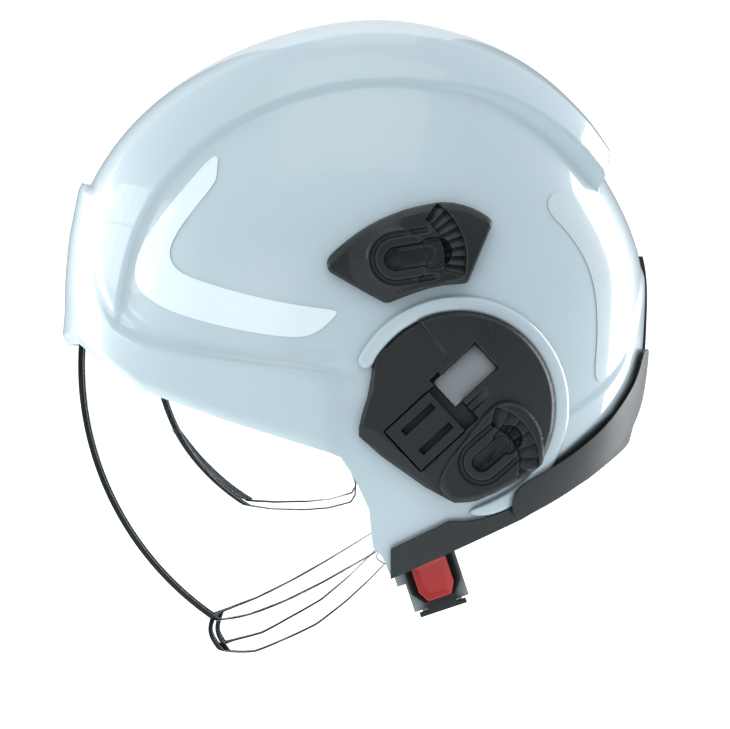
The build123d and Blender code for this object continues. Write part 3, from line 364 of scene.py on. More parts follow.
def moulded(name, colour, rough=0.42, grain=1400.0, depth=0.00003, round_edges=0.0005, coat=0.0,
            relief_grid=False):
    """Moulded plastic with a fine spark-eroded grain and pale scuffs, a painted highlight along edges and painted
    shade in recesses
    """
    f = Finish(name, **{"IOR": 1.49, "Coat Roughness": 0.2})
    cloud, fine = f.noise(24.0, 4.0), f.noise(grain, 2.0, 0.6)
    soft_edge = f.rounded(round_edges)
    plain = f.node("ShaderNodeNewGeometry").outputs["Normal"]
    bend = Amount(f, f.node("ShaderNodeVectorMath", {"operation": "DOT_PRODUCT"},
                            {0: soft_edge, 1: plain}).outputs["Value"])
    # Painted highlight: where the rounded-edge normal departs from the plain one, the colour is lifted up to four
    # times lighter.
    edge = (1 - bend).step(0.02, 0.22)
    # On relief pieces the painted edge highlight follows pointiness on convex edges instead.
    if relief_grid:
        point = Amount(f, f.node("ShaderNodeNewGeometry").outputs["Pointiness"])
        edge = point.step(0.515, 0.60)
    # Painted shade: ambient occlusion darkens recesses and gaps between parts to 0.12 of the colour, and makes them
    # rougher.
    painted_shade_ao = Amount(f, f.node("ShaderNodeAmbientOcclusion", {"samples": 6},
                                {"Distance": 0.007}).outputs["AO"])
    clear_of_painted_shade = painted_shade_ao.step(0.25, 0.95)
    colours = f.mix((cloud * 0.6 + fine * 0.4).held(), shade(colour, 0.8), shade(colour, 1.3))
    colours = f.mix(clear_of_painted_shade, shade(colour, 0.12), colours)
    scuff = f.noise(160.0, 6.0, 0.7, f.stretched(1, 0.25, 1)).step(0.60, 0.75)
    colours = f.mix(scuff * 0.2, colours, shade(colour, 2.0))
    # The base colour carries the painted edge highlight, kept out of the painted shade.
    f.looks(Base_Color=f.mix(edge * clear_of_painted_shade * 0.8, colours, shade(colour, 4.0)),
            Roughness=(rough + (fine - 0.5) * 0.12 + scuff * 0.08 + (1 - clear_of_painted_shade) * 0.35).held(),
            Coat_Weight=coat, Normal=f.bumped(fine, depth, 0.5, soft_edge))
    return f.material


def make_finishes():
    scene = bpy.context.scene
    shell, hard, visor, soft = (scene.helmet_shell, scene.helmet_hardware, scene.helmet_visor,
                                scene.helmet_soft)

    paint = tuple(shell.paint)
    f = Finish("Shell paint", **{"IOR": 1.5, "Coat Roughness": 0.02, "Coat IOR": 1.5})
    cloud, peel, dust = f.noise(6.0, 3.0), f.noise(260.0, 2.0), f.noise(2200.0, 2.0, 0.7)
    tone = f.mix(cloud.step(0.3, 0.7), shade(paint, 0.985), shade(paint, 1.02))
    scratch = f.noise(90.0, 5.0, 0.8, f.stretched(1, 0.12, 0.6, (0.3, 0.2, 0.9))).step(0.70, 0.80)
    # Painted shade: ambient occlusion darkens the paint to 0.78 in creases and beside raised parts.
    painted_shade_ao = Amount(f, f.node("ShaderNodeAmbientOcclusion", {"samples": 6},
                                {"Distance": 0.012}).outputs["AO"])
    tone = f.mix(painted_shade_ao.step(0.42, 0.92), shade(paint, 0.78), tone)
    f.looks(Base_Color=f.mix(dust.step(0.66, 0.8) * 0.10, tone, shade(paint, 0.9)),
            Roughness=(0.30 + scratch * 0.10 + (dust - 0.5) * 0.04).held(),
            Coat_Weight=(1.0 - scratch * 0.12).held(), Normal=f.bumped(peel, 0.00006, 0.10))
    FINISHES["shell_gloss"] = f.material

    # The rear film is the same film darkened to 0.80 of its colour: painted shade.
    for slot_name, title, tone, painted_glow in (("reflector", "Front film", 1.0, 0.13),
                                         ("reflector_rear", "Rear film", 0.80, 0.0)):
        film = shade(tuple(shell.film), tone)
        # Painted light: the front film glows faintly, though it is no lamp; the rear film does not.
        f = Finish(title, **{"IOR": 1.5, "Coat Roughness": 0.04, "Emission Strength": painted_glow})
        comb = f.cells(900.0, "DISTANCE_TO_EDGE").step(0.02, 0.16)
        f.looks(Base_Color=f.mix(comb, shade(film, 0.97), film), Roughness=(0.34 - comb * 0.12).held(),
                Coat_Weight=0.8,
                Emission_Color=f.mix(comb, shade(film, 0.9), film), Normal=f.bumped(comb, 0.00001, 0.15))
        FINISHES[slot_name] = f.material

    f = Finish("Film edge", **{"IOR": 1.45})
    f.looks(Base_Color=f.mix(f.noise(900.0), (0.16, 0.17, 0.18), (0.26, 0.27, 0.28)),
            Roughness=(0.4 + f.noise(500.0) * 0.2).held())
    FINISHES["film_edge"] = f.material

    foam = tuple(soft.foam)
    f = Finish("Liner foam", **{"IOR": 1.4})
    bead, gap = f.cells(330.0), f.cells(330.0, "DISTANCE_TO_EDGE")
    f.looks(Base_Color=f.mix(gap.step(0.0, 0.12), shade(foam, 0.35),
                             f.mix(bead.held(), foam, shade(foam, 1.6))),
            Roughness=(0.72 + bead * 0.2).held(), Normal=f.bumped(gap.step(0.0, 0.25), 0.0005, 0.7))
    FINISHES["liner_foam"] = f.material

    rubber = tuple(hard.rubber)
    f = Finish("Rim rubber", **{"IOR": 1.5, "Sheen Weight": 0.06})
    haze, fine = f.noise(30.0, 5.0, 0.6), f.noise(1800.0, 2.0, 0.7)
    bloom = f.noise(70.0, 6.0, 0.75).step(0.55, 0.8)
    f.looks(Base_Color=f.mix((haze * 0.7 + bloom * 0.3).held(), shade(rubber, 0.8), shade(rubber, 1.8)),
            Roughness=(0.36 + haze * 0.14 + bloom * 0.1).held(),
            Normal=f.bumped(fine, 0.00003, 0.5, f.rounded(0.0008)))
    FINISHES["rim_rubber"] = f.material

    black = tuple(hard.black)
    FINISHES["adapter_black"] = moulded("Adapter plastic", black, 0.40, 1500.0)
    FINISHES["adapter_relief"] = moulded("Adapter plastic, deep relief", black, 0.36, 1500.0,
                                         relief_grid=True)
    FINISHES["harness_black"] = moulded("Harness plastic", shade(black, 1.3), 0.46, 1100.0)
    FINISHES["pivot_black"] = moulded("Pivot plastic", shade(black, 1.1), 0.34, 1800.0)
    FINISHES["buckle_black"] = moulded("Buckle plastic", shade(black, 1.1), 0.36, 1600.0, coat=0.1)
    FINISHES["window_grey"] = moulded("Window plastic", tuple(hard.window), 0.50, 900.0)
    FINISHES["button_red"] = moulded("Button plastic", tuple(hard.button), 0.32, 1300.0, coat=0.3)
    FINISHES["backing_grey"] = moulded("Backing plastic", tuple(hard.backing), 0.38, 1200.0, coat=0.2)

    steel = tuple(hard.steel)
    for slot_name, title, rough in (("screw_steel", "Screw steel", 0.30),
                                    ("spring_steel", "Spring steel", 0.36)):
        f = Finish(title, **{"Metallic": 1.0})
        turned = f.noise(700.0, 4.0, 0.7, f.stretched(3.0, 0.4, 0.4))
        f.looks(Base_Color=f.mix(turned, shade(steel, 0.8), shade(steel, 1.15)),
                Roughness=(rough + (turned - 0.5) * 0.2).held(),
                Normal=f.bumped(turned, 0.00002, 0.4, f.rounded(0.0003)))
        FINISHES[slot_name] = f.material

    f = Finish("Nose rubber", **{"IOR": 1.42, "Subsurface Weight": 0.05})
    soft_cloud = f.noise(60.0, 4.0)
    f.looks(Base_Color=f.mix(soft_cloud, (0.55, 0.60, 0.62), (0.72, 0.76, 0.78)),
            Roughness=(0.42 + soft_cloud * 0.15).held(),
            Alpha=(0.10 + f.facing().step(0.80, 0.97) * 0.55).held(),
            Normal=f.bumped(f.noise(1500.0), 0.00003, 0.4))
    FINISHES["nose_rubber"] = f.material

    for slot_name, title, start, line in (
            ("shield_clear", "Shield polycarbonate", visor.edge_start, 0.9),
            ("shield_clear_inner", "Shield polycarbonate inner face", 0.97, 0.5),
            ("shield_clear_edge", "Shield polycarbonate cut edge", 0.30, 0.9),
            ("protector_clear", "Protector polycarbonate", visor.edge_start * 0.97, 1.0),
            ("protector_clear_inner", "Protector polycarbonate inner face", 0.96, 0.6),
            ("protector_clear_edge", "Protector polycarbonate cut edge", 0.25, 1.0)):
        f = Finish(title, **{"IOR": 1.49, "Coat Roughness": 0.02})
        # Painted shade standing in for refraction: the clear plastic is coloured dark and made opaque at shallow
        # angles and in a broken line along its cut edges.
        rim = f.facing(0.5).step(start, start + 0.035)
        border = Amount(f, f.node("ShaderNodeAttribute", {"attribute_name": "border"}).outputs["Fac"])
        broken = f.noise(26.0, 2.0, 0.5).step(0.30, 0.52)
        edge = (1 - border.step(0.35, 0.95)) * line * (0.35 + broken * 0.65)
        haze = f.noise(40.0, 5.0, 0.7).step(0.62, 0.9)
        hair = f.noise(240.0, 4.0, 0.8, f.stretched(1, 0.06, 0.5, (0.5, 0.1, 0.4))).step(0.74, 0.82)
        dark = (rim + edge).held()
        f.looks(Base_Color=f.mix(dark, tuple(visor.tint), tuple(visor.edge_painted_shade)),
                Roughness=(0.03 + haze * 0.04 + hair * 0.15).held(),
                Alpha=(0.006 + dark * 0.985 + hair * 0.01).held())
        # The same painted shade, laid over as a matt dark cover.
        f.covered(dark * 0.94, tuple(visor.edge_painted_shade))
        FINISHES[slot_name] = f.material

    web = tuple(soft.webbing)
    f = Finish("Webbing", **{"IOR": 1.45, "Sheen Weight": 0.35, "Sheen Roughness": 0.45})
    across = (f.coordinate(0) * 5200.0).wave()
    along = ((f.coordinate(1) + f.coordinate(2)) * 3600.0).wave()
    weave = (across * along * 0.5 + 0.5).held()
    fuzz = f.noise(2600.0, 2.0, 0.8)
    f.looks(Base_Color=f.mix((weave * 0.7 + fuzz * 0.3).held(), shade(web, 0.55), shade(web, 1.9)),
            Roughness=(0.62 + fuzz * 0.25).held(),
            Normal=f.bumped(weave, 0.00025, 0.7, f.bumped(fuzz, 0.00005, 0.4)))
    FINISHES["webbing"] = f.material

    fabric = tuple(soft.fabric)
    f = Finish("Pad fabric", **{"IOR": 1.45, "Sheen Weight": 0.5, "Sheen Roughness": 0.5})
    knit = ((f.coordinate(0) * 4200.0).wave() * (f.coordinate(1) * 4200.0).wave() * 0.5
            + (f.coordinate(2) * 4200.0).wave() * 0.25 + 0.5).held()
    lint = f.noise(1200.0, 4.0, 0.8)
    f.looks(Base_Color=f.mix((knit * 0.6 + lint * 0.4).held(), shade(fabric, 0.6), shade(fabric, 1.8)),
            Roughness=(0.75 + lint * 0.2).held(),
            Normal=f.bumped(knit, 0.0002, 0.6, f.bumped(lint, 0.0001, 0.4)))
    FINISHES["padding"] = f.material


def dress(names, slot_name):
    """Gives CAD nodes their finish"""
    for name in names:
        for material_slot in NODES[name].material_slots:
            material_slot.material = FINISHES[slot_name]


def pair(*names):
    return [n + side for n in names for side in ("_left", "_right")]


# ---- shapes -----------------------------------------------------------------------
def smooth_step(x, low, high):
    t = np.clip((x - low) / (high - low), 0.0, 1.0)
    return t * t * (3 - 2 * t)


def ring_curve(table):
    """Smooth closed curve through a table of directions and values"""
    keys = np.array(sorted(table), float)
    values = np.array([table[k] for k in sorted(table)], float)
    n = len(keys)
    gaps = np.diff(np.append(keys, keys[0] + 360.0))
    slopes = np.diff(np.append(values, values[0])) / gaps
    a = np.zeros((n, n))
    b = np.zeros(n)
    for i in range(n):
        before, after = gaps[i - 1], gaps[i]
        a[i, i - 1], a[i, i], a[i, (i + 1) % n] = before, 2 * (before + after), after
        b[i] = 6 * (slopes[i] - slopes[i - 1])
    bend = np.linalg.solve(a, b)

    def at(angle):
        angle = np.mod(np.asarray(angle, float) - keys[0], 360.0) + keys[0]
        i = np.clip(np.searchsorted(keys, angle, side="right") - 1, 0, n - 1)
        j = (i + 1) % n
        h = gaps[i]
        t = (angle - keys[i]) / h
        s = 1 - t
        return (s * values[i] + t * values[j]
                + ((s ** 3 - s) * bend[i] + (t ** 3 - t) * bend[j]) * h * h / 6)
    return at


def plain_curve(table):
    keys = sorted(table)
    return lambda angle: np.interp(np.mod(angle, 360.0), keys + [360],
                                   [table[k] for k in keys] + [table[keys[0]]])


SHELL_CURVE, HEAD_CURVE = ring_curve(SHELL_REACH), ring_curve(HEAD_REACH)
LIFT_CURVE, WIDTH_CURVE, BROW_CURVE = (plain_curve(t) for t in (CREST_LIFT, CREST_WIDTH, BROW_LIFT))


def softened(points, rounds=3, closed=True):
    """Corner-cut copy of a line of points"""
    pts = [np.array(p, float) for p in points]
    for _ in range(rounds):
        new = [] if closed else [pts[0]]
        last = len(pts) if closed else len(pts) - 1
        for i in range(last):
            p, q = pts[i], pts[(i + 1) % len(pts)]
            new += [p * 0.75 + q * 0.25, p * 0.25 + q * 0.75]
        pts = new if closed else new + [pts[-1]]
    return np.array(pts)


def inside_by(points, y, z):
    """Distance inside a closed outline, negative outside"""
    y, z = np.asarray(y, float), np.asarray(z, float)
    near = np.full(y.shape, 1e9)
    inside = np.zeros(y.shape, bool)
    for (ya, za), (yb, zb) in zip(points, np.roll(points, -1, axis=0)):
        dy, dz = yb - ya, zb - za
        t = np.clip(((y - ya) * dy + (z - za) * dz) / max(dy * dy + dz * dz, 1e-9), 0, 1)
        near = np.minimum(near, (y - ya - t * dy) ** 2 + (z - za - t * dz) ** 2)
        if abs(dz) > 1e-9:
            crosses = (za > z) != (zb > z)
            inside ^= crosses & (y < ya + (z - za) * dy / dz)
    return np.sqrt(near) * np.where(inside, 1.0, -1.0)


def border_points(line):
    """A border line rounded off, as a list of points"""
    return [tuple(p) for p in softened(line, 3, closed=False)]


PANEL_ZONE = np.array([(-3, 260)] + border_points(PANEL_BORDER)
                      + [(-22, -160), (-260, -160), (-260, 260)])
BROW_ZONE = np.array([(-260, 97), (-152, 95.5), (-144, 89)]
                     + border_points(BROW_BORDER) + [(-14, -160), (-260, -160)])
ABOVE_RIM = np.array(RIM + [(200, 260), (-200, 260)])
NAPE_ZONE = np.array(border_points(NAPE_BAND)
                     + [(200, 50), (200, -120), (70, -120)])


def shell_rise(angle, x, y, z):
    """How far the shell stands over its plain dome at each point, in millimetres"""
    s = bpy.context.scene.helmet_shell
    crest, brow = s.crest / MM, s.brow / MM
    side = np.abs(x)
    width = WIDTH_CURVE(angle)
    edge = width * 0.68
    crown = crest + LIFT_CURVE(angle)
    top = crown + 2.4 * (side / edge) ** 2
    bevel = crown + 2.4 - (side - edge) / (width - edge) * 3.3
    profile = np.where(side < edge, top, bevel)
    # the crest ends at the rear in a step
    rear = (y - 102.5) * 15.0 / 15.2 - (z - 97) * 2.5 / 15.2
    upper = smooth_step(z, -20.0, 10.0)
    wall = smooth_step(width - side, -1.4, 1.4) * (1 - smooth_step(rear, -1.8, 1.8)) * upper
    zone = smooth_step(inside_by(PANEL_ZONE, y, z), -1.0, 7.0) * 2.4 * smooth_step(-y, 14, 36)
    rise = np.maximum(zone, profile * wall)
    # brow guard, with a shallow groove along its upper edge
    guard = inside_by(BROW_ZONE, y, z)
    fade = smooth_step(-y, 14, 40)
    groove = np.exp(-((guard + 3.2) / 2.6) ** 2) * 1.2 * fade * smooth_step(side, 40, 66)
    rise = rise - groove
    wall_width = np.interp(z, [8, 20, 45, 75], [1.6, 2.6, 5.0, 6.5]) * smooth_step(side, 25, 60) + 0.6
    over = smooth_step(guard, -wall_width, 0.7) * fade
    outer = smooth_step(side, 30, 84)
    height = BROW_CURVE(angle) * (1 - outer) + brow * outer
    rise = rise * (1 - over) + height * over
    # the guard's lower edge is rounded under
    lower = np.clip(1 - inside_by(ABOVE_RIM, y, z) / 6.0, 0, 1) * fade
    rise = rise - 3.8 * lower ** 2
    rise = rise + smooth_step(inside_by(NAPE_ZONE, y, z), -1.2, 1.6) * 1.2
    return rise


def shell_points(angle, turn, grow=0.0, plain=False):
    """Points of the shell's skin in metres; angle runs round the side outline and turn from side to side"""
    s = bpy.context.scene.helmet_shell
    half = s.half_width / MM
    power = 2 / DOME_POWER
    share = np.sign(turn) * np.abs(np.sin(turn)) ** power
    scale = np.maximum(np.cos(turn), 0.0) ** power
    reach = SHELL_CURVE(angle)
    ca, sa = np.cos(np.radians(angle)), np.sin(np.radians(angle))
    x, y, z = share * half, -reach * scale * ca, reach * scale * sa
    rise = (0.0 if plain else shell_rise(angle, x, y, z)) + grow
    x = share * (half + rise)
    y, z = -(reach + rise) * scale * ca, (reach + rise) * scale * sa
    limit = half * 0.975 + np.maximum(rise, grow) * 0.975 + 0.15
    over = np.maximum(np.abs(x) - (limit - 3.0), 0.0)
    x = np.sign(x) * (np.minimum(np.abs(x), limit - 3.0) + 3.0 * (1 - np.exp(-over / 3.0)))
    return np.stack([x, y, z], -1) * MM


def side_x(y, z, grow=0.0):
    """How far out the plain dome stands at a point of the side view, in millimetres"""
    half = bpy.context.scene.helmet_shell.half_width / MM + grow
    share = np.hypot(y, z) / (SHELL_CURVE(np.degrees(np.arctan2(z, -y)) % 360) + grow)
    return np.minimum(half * (1 - np.minimum(share, 0.999) ** DOME_POWER) ** (1 / DOME_POWER), half * 0.975)


def low_of(a, b, blend):
    """The lower of two heights, rounded where they cross"""
    share = np.clip(0.5 + 0.5 * (b - a) / blend, 0, 1)
    return b * (1 - share) + a * share - blend * share * (1 - share)


def along_slot(y, z, start, end, radius):
    """Distance inside a round-ended slot"""
    dy, dz = end[0] - start[0], end[1] - start[1]
    t = np.clip(((y - start[0]) * dy + (z - start[1]) * dz) / max(dy * dy + dz * dz, 1e-9), 0, 1)
    return radius - np.hypot(y - start[0] - t * dy, z - start[1] - t * dz)


def past_line(y, z, a, b):
    """Distance to the left of the line from a to b"""
    dy, dz = b[0] - a[0], b[1] - a[1]
    return ((z - a[1]) * dy - (y - a[0]) * dz) / math.hypot(dy, dz)


def in_box(y, z, at, turn, u0, u1, v0, v1):
    """Distance inside a turned rectangle"""
    c, s = math.cos(math.radians(turn)), math.sin(math.radians(turn))
    u, v = (y - at[0]) * c + (z - at[1]) * s, -(y - at[0]) * s + (z - at[1]) * c
    return np.minimum(np.minimum(u - u0, u1 - u), np.minimum(v - v0, v1 - v))


def sunk(height, inside, floor, slope=0.5):
    """Takes a height down to a floor inside a region"""
    share = smooth_step(inside, -slope, slope)
    return height * (1 - share) + np.minimum(height, floor) * share


def base_height(y, z):
    """Outer face of the side adapter: a disc with a sloping front facet, a lower facet and the latch's track"""
    h = low_of(side_x(y, z, 8.0), FACE + 0 * y, 1.5)
    front = past_line(y, z, (-5.7, -27.4), (27.6, 4.5))
    ahead = past_line(y, z, (27.6, 4.5), (16.0, 18.0))
    facet = FACE - 0.17 * np.maximum(front, 0)
    share = smooth_step(np.minimum(front, ahead), -0.3, 0.5)
    h = h * (1 - share) + np.minimum(h, facet) * share
    lower = past_line(y, z, (19.9, -51.6), (-3.8, -32.2))
    h = np.minimum(h, FACE - 0.42 * np.maximum(lower, 0))
    rear = past_line(y, z, (52.0, -2.0), (60.0, -24.0))
    h = np.minimum(h, FACE - 0.9 * smooth_step(rear, -0.5, 0.7))
    edge = inside_by(np.array(BASE_EDGE), y, z)
    h = h - 1.6 * np.clip(1 - edge / 1.6, 0, 1)
    track = in_box(y, z, LATCH_AT, LATCH_TURN, -13.8, 21.8, -12.3, 12.3)
    window = in_box(y, z, LATCH_AT, LATCH_TURN, 17.7, 44.3, -1.6, 14.0)
    notch = in_box(y, z, LATCH_AT, LATCH_TURN, 17.7, 22.5, 13.0, 15.6)
    slot = in_box(y, z, LATCH_AT, LATCH_TURN, 15.0, 36.0, -8.4, -4.4)
    h = sunk(h, np.maximum(np.maximum(track, window), notch), 111.0, 0.35)
    u = (y - LATCH_AT[0]) * math.cos(math.radians(LATCH_TURN)) + (z - LATCH_AT[1]) * math.sin(math.radians(LATCH_TURN))
    return sunk(h, slot, FACE - 4.6 + 4.2 * np.clip((u - 18) / 18, 0, 1), 0.35)


def fan_cut(y, z, at, r0, r1, a0, a1, pitch, deep):
    """Depth of a fan of ramped teeth round a socket"""
    r = np.hypot(y - at[0], z - at[1])
    a = np.degrees(np.arctan2(z - at[1], y - at[0]))
    inside = np.minimum(np.minimum(r - r0, r1 - r), np.minimum(a - a0, a1 - a) * math.pi / 180 * r)
    ramp = np.mod(a - a0, pitch) / pitch
    tooth = deep * (0.40 + 0.60 * np.minimum(ramp / 0.82, (1 - ramp) / 0.18))
    return tooth * smooth_step(inside, -0.3, 0.4)


def socket_cut(y, z, at, turn, length, radius, ring, deep):
    """Depth of a socket: a slot with a stepped floor and a groove shaped like a horseshoe round it"""
    c, s = math.cos(math.radians(turn)), math.sin(math.radians(turn))
    end = (at[0] + length * c, at[1] + length * s)
    slot = along_slot(y, z, at, end, radius)
    u = (y - at[0]) * c + (z - at[1]) * s
    cut = deep * smooth_step(slot, -0.3, 0.7) + 0.7 * smooth_step(slot, 1.5, 2.2) * smooth_step(u, 1.5, 2.3)
    lobe = along_slot(y, z, (at[0] + (length + 2) * c, at[1] + (length + 2) * s),
                      (at[0] + (length + 4) * c, at[1] + (length + 4) * s), radius + 1.6)
    cut = np.maximum(cut, (deep - 1.1) * smooth_step(lobe, -0.3, 0.6))
    shoe = along_slot(y, z, at, (at[0] + (length + 4) * c, at[1] + (length + 4) * s), ring)
    channel = smooth_step(shoe, -0.6, 0.6) - smooth_step(shoe, 1.7, 2.9)
    return np.maximum(cut, 1.5 * channel * (1 - smooth_step(u, length + 0.5, length + 4.5)))


def pod_height(y, z):
    """Outer face of the lower accessory socket"""
    edge = inside_by(softened(POD_EDGE, 2), y, z)
    h = FACE + 1.2 - 1.9 * np.clip(1 - edge / 1.9, 0, 1) ** 1.4
    h = h - 1.4 * np.clip(past_line(y, z, (30.0, -62.0), (24.0, -48.0)) / 9.0, 0, 1)
    h = h - socket_cut(y, z, POD_AT, 41.0, 12.5, 4.4, 10.8, 5.2)
    return h - fan_cut(y, z, POD_AT, 17.2, 26.0, -22.0, 76.0, 14.0, 2.8)


def lamp_height(y, z):
    """Outer face of the lamp bracket: a crowned plate with a chamfered top, a front wing and a rear flange"""
    outline = softened(LAMP_EDGE, 1)
    edge = inside_by(outline, y, z)
    h = side_x(y, z, 7.5)
    upper = np.interp(y, [-28, -16, -6.3, 4.5, 15.8, 27.2, 37.8, 46, 50],
                      [48.0, 59.8, 66.1, 70.8, 74.0, 75.8, 73.5, 69.3, 66.0]) - z
    h = h - 2.4 * np.clip(1 - upper / 3.4, 0, 1)
    away = np.hypot(y - LAMP_AT[0], z - LAMP_AT[1])
    wing = np.clip((away - 13.8) / 8.0, 0, 1) * smooth_step(-y, -8.0, -1.0)
    h = h - 2.2 * wing - 0.9 * smooth_step(away, 13.0, 14.2) * smooth_step(-y, -8.0, -1.0)
    bay = np.minimum(away - 14.0, 32.6 - away)
    inside_bay = np.minimum(bay, past_line(y, z, (4.0, 33.0), (40.0, 41.0)))
    h = h - 0.8 * smooth_step(inside_bay, -0.4, 0.6) * smooth_step(y, 2.0, 9.0)
    h = h - 1.0 * np.clip(1 - edge / 1.0, 0, 1)
    h = h - socket_cut(y, z, LAMP_AT, 9.5, 14.5, 5.6, 12.2, 4.8)
    return h - fan_cut(y, z, LAMP_AT, 22.5, 31.8, -14.0, 54.0, 8.5, 3.0)


def relief(name, outline, height, finish, side, shift=0.0):
    """Moulded piece standing on the shell: a fine grid raised to a height, trimmed to its outline"""
    step = 0.42
    outline = np.array(outline, float)
    ys = np.arange(outline[:, 0].min() - 1, outline[:, 0].max() + 1, step)
    zs = np.arange(outline[:, 1].min() - 1, outline[:, 1].max() + 1, step)
    y, z = np.meshgrid(ys, zs, indexing="ij")
    low = side_x(y, z, 0.0) - 1.2 + shift
    top = np.maximum(height(y, z), low + 0.4)
    n, m = y.shape
    points = np.concatenate([np.stack([x * side, y, z], -1).reshape(-1, 3) for x in (top, low)]) * MM
    i, j = np.meshgrid(np.arange(n - 1), np.arange(m - 1), indexing="ij")
    a, b, c, d = (i * m + j).ravel(), ((i + 1) * m + j).ravel(), ((i + 1) * m + j + 1).ravel(), (i * m + j + 1).ravel()
    quads = np.concatenate([np.stack([a, b, c, d], -1), np.stack([d, c, b, a], -1) + n * m])
    faces = [tuple(q) for q in quads.tolist()]
    loop = ([k * m for k in range(n)] + [(n - 1) * m + k for k in range(1, m)]
            + [k * m + m - 1 for k in range(n - 2, -1, -1)] + [k for k in range(m - 2, 0, -1)])
    faces += [(p, p + n * m, q + n * m, q) for p, q in zip(loop, loop[1:] + loop[:1])]
    made = outward(mesh_from(name, points, faces, finish, 180))
    cut(made, side_block(name + "_outline", softened(outline, 1), 60 * side, 160 * side, finish), "INTERSECT")
    smooth(made, 60)
    return made


def ring_band(name, side):
    """Raised ring round the side adapter, round-ended at its lower front"""
    yc, zc, rd = DISC
    middle, half, rise = rd + 3.9, 3.7, bpy.context.scene.helmet_shell.ring / MM
    n, m = 260, 15
    a0, a1 = math.radians(-84.0), math.radians(157.0)
    angles = np.linspace(a0, a1, n)
    to_end = np.minimum(a1 - angles, (angles - a0) * 0.2) * middle
    width = half * np.sqrt(1 - np.clip(1 - to_end / half, 0, 1) ** 2 * 0.998)
    u = np.sin(np.linspace(-math.pi / 2, math.pi / 2, m))
    aa, uu = np.meshgrid(angles, u, indexing="ij")
    r = middle + uu * width[:, None]
    y, z = yc + r * np.cos(aa), zc + r * np.sin(aa)
    crown = (1 - np.abs(uu) ** 5) ** 0.5
    ground = side_x(y, z, 0.0)
    top = ground + rise * (0.25 + 0.75 * crown) * np.minimum(1, width[:, None] / half + 0.2)
    rows = [np.stack([x * side, y, z], -1).reshape(-1, 3) for x in (top, ground - 1.0)]
    faces = []
    for i in range(n - 1):
        for j in range(m - 1):
            q = (i * m + j, (i + 1) * m + j, (i + 1) * m + j + 1, i * m + j + 1)
            faces += [q, tuple(k + n * m for k in reversed(q))]
        for j in (0, m - 1):
            faces.append((i * m + j, i * m + j + n * m, (i + 1) * m + j + n * m, (i + 1) * m + j))
    for i in (0, n - 1):
        for j in range(m - 1):
            faces.append((i * m + j, i * m + j + 1, i * m + j + 1 + n * m, i * m + j + n * m))
    return outward(mesh_from(name, np.concatenate(rows) * MM, faces, "shell_gloss", 70))


def round_skin(y0, z0, radius, half, steps):
    """Closed body of revolution about the ear-to-ear axis"""
    n, m = steps
    angles = np.linspace(0, 2 * math.pi, n, endpoint=False)
    turns = np.linspace(-math.pi / 2, math.pi / 2, m + 1)[1:-1]
    aa, tt = np.meshgrid(angles, turns, indexing="ij")
    share, scale = np.sign(tt) * np.abs(np.sin(tt)) ** (2 / DOME_POWER), np.cos(tt) ** (2 / DOME_POWER)
    body = np.stack([share * half, y0 - radius * scale * np.cos(aa), z0 + radius * scale * np.sin(aa)],
                    -1).reshape(-1, 3)
    k = len(turns)
    faces = []
    for i in range(n):
        j = (i + 1) % n
        faces += [(i * k + q, j * k + q, j * k + q + 1, i * k + q + 1) for q in range(k - 1)]
        faces += [(j * k, i * k, n * k), (i * k + k - 1, j * k + k - 1, n * k + 1)]
    return np.vstack([body, [(-half, y0, z0), (half, y0, z0)]]), faces


def visor(name, form, outline, finish, open_nose=False):
    """Clear shell trimmed to a side-view outline; each point knows how far it lies from the cut edge"""
    y0, z0, radius, half, wall = form
    steps = ((360, 200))
    outer, faces = round_skin(y0, z0, radius, half, steps)
    inner, more = round_skin(y0, z0, radius - wall, half - wall, steps)
    faces = faces + [tuple(i + len(outer) for i in reversed(f)) for f in more]
    made = mesh_from(name, np.vstack([outer, inner]) * MM, faces, finish, 30)
    cut(made, side_block(name + "_outline", outline, -200, 200, finish), "INTERSECT")
    if open_nose:
        ring = [(22 * math.cos(a), -71 + 40 * math.sin(a)) for a in np.linspace(0, 2 * math.pi, 64,
                                                                                endpoint=False)]
        n = len(ring)
        points = [(x * MM, y * MM, z * MM) for y in (-200, -60) for x, z in ring]
        sides = [tuple(range(n))[::-1], tuple(range(n, 2 * n))] + [(i, (i + 1) % n, n + (i + 1) % n,
                                                                    n + i) for i in range(n)]
        cut(made, outward(mesh_from(name + "_nose", points, sides, finish)), "DIFFERENCE")
    mesh = made.data
    mesh.materials.clear()
    for end in ("", "_inner", "_edge"):
        mesh.materials.append(FINISHES[finish + end])
    co = np.array([v.co[:] for v in mesh.vertices]) / MM
    border = np.abs(inside_by(np.array(outline, float), co[:, 1], co[:, 2]))
    if open_nose:
        nose = np.abs(np.hypot(co[:, 0] / 22, (co[:, 2] + 71) / 40) - 1) * 24 + 90 * (co[:, 1] > -60)
        border = np.minimum(border, nose)
    layer = mesh.attributes.new("border", "FLOAT", "POINT")
    layer.data.foreach_set("value", border.astype(np.float32))
    for face in mesh.polygons:
        c = face.center / MM
        r = math.hypot(c.y - y0, c.z - z0)
        out = (abs(c.x) / half) ** DOME_POWER + (r / radius) ** DOME_POWER
        back = (abs(c.x) / (half - wall)) ** DOME_POWER + (r / (radius - wall)) ** DOME_POWER
        face.material_index = 0 if abs(out - 1) < 0.006 else 1 if abs(back - 1) < 0.006 else 2
    return made


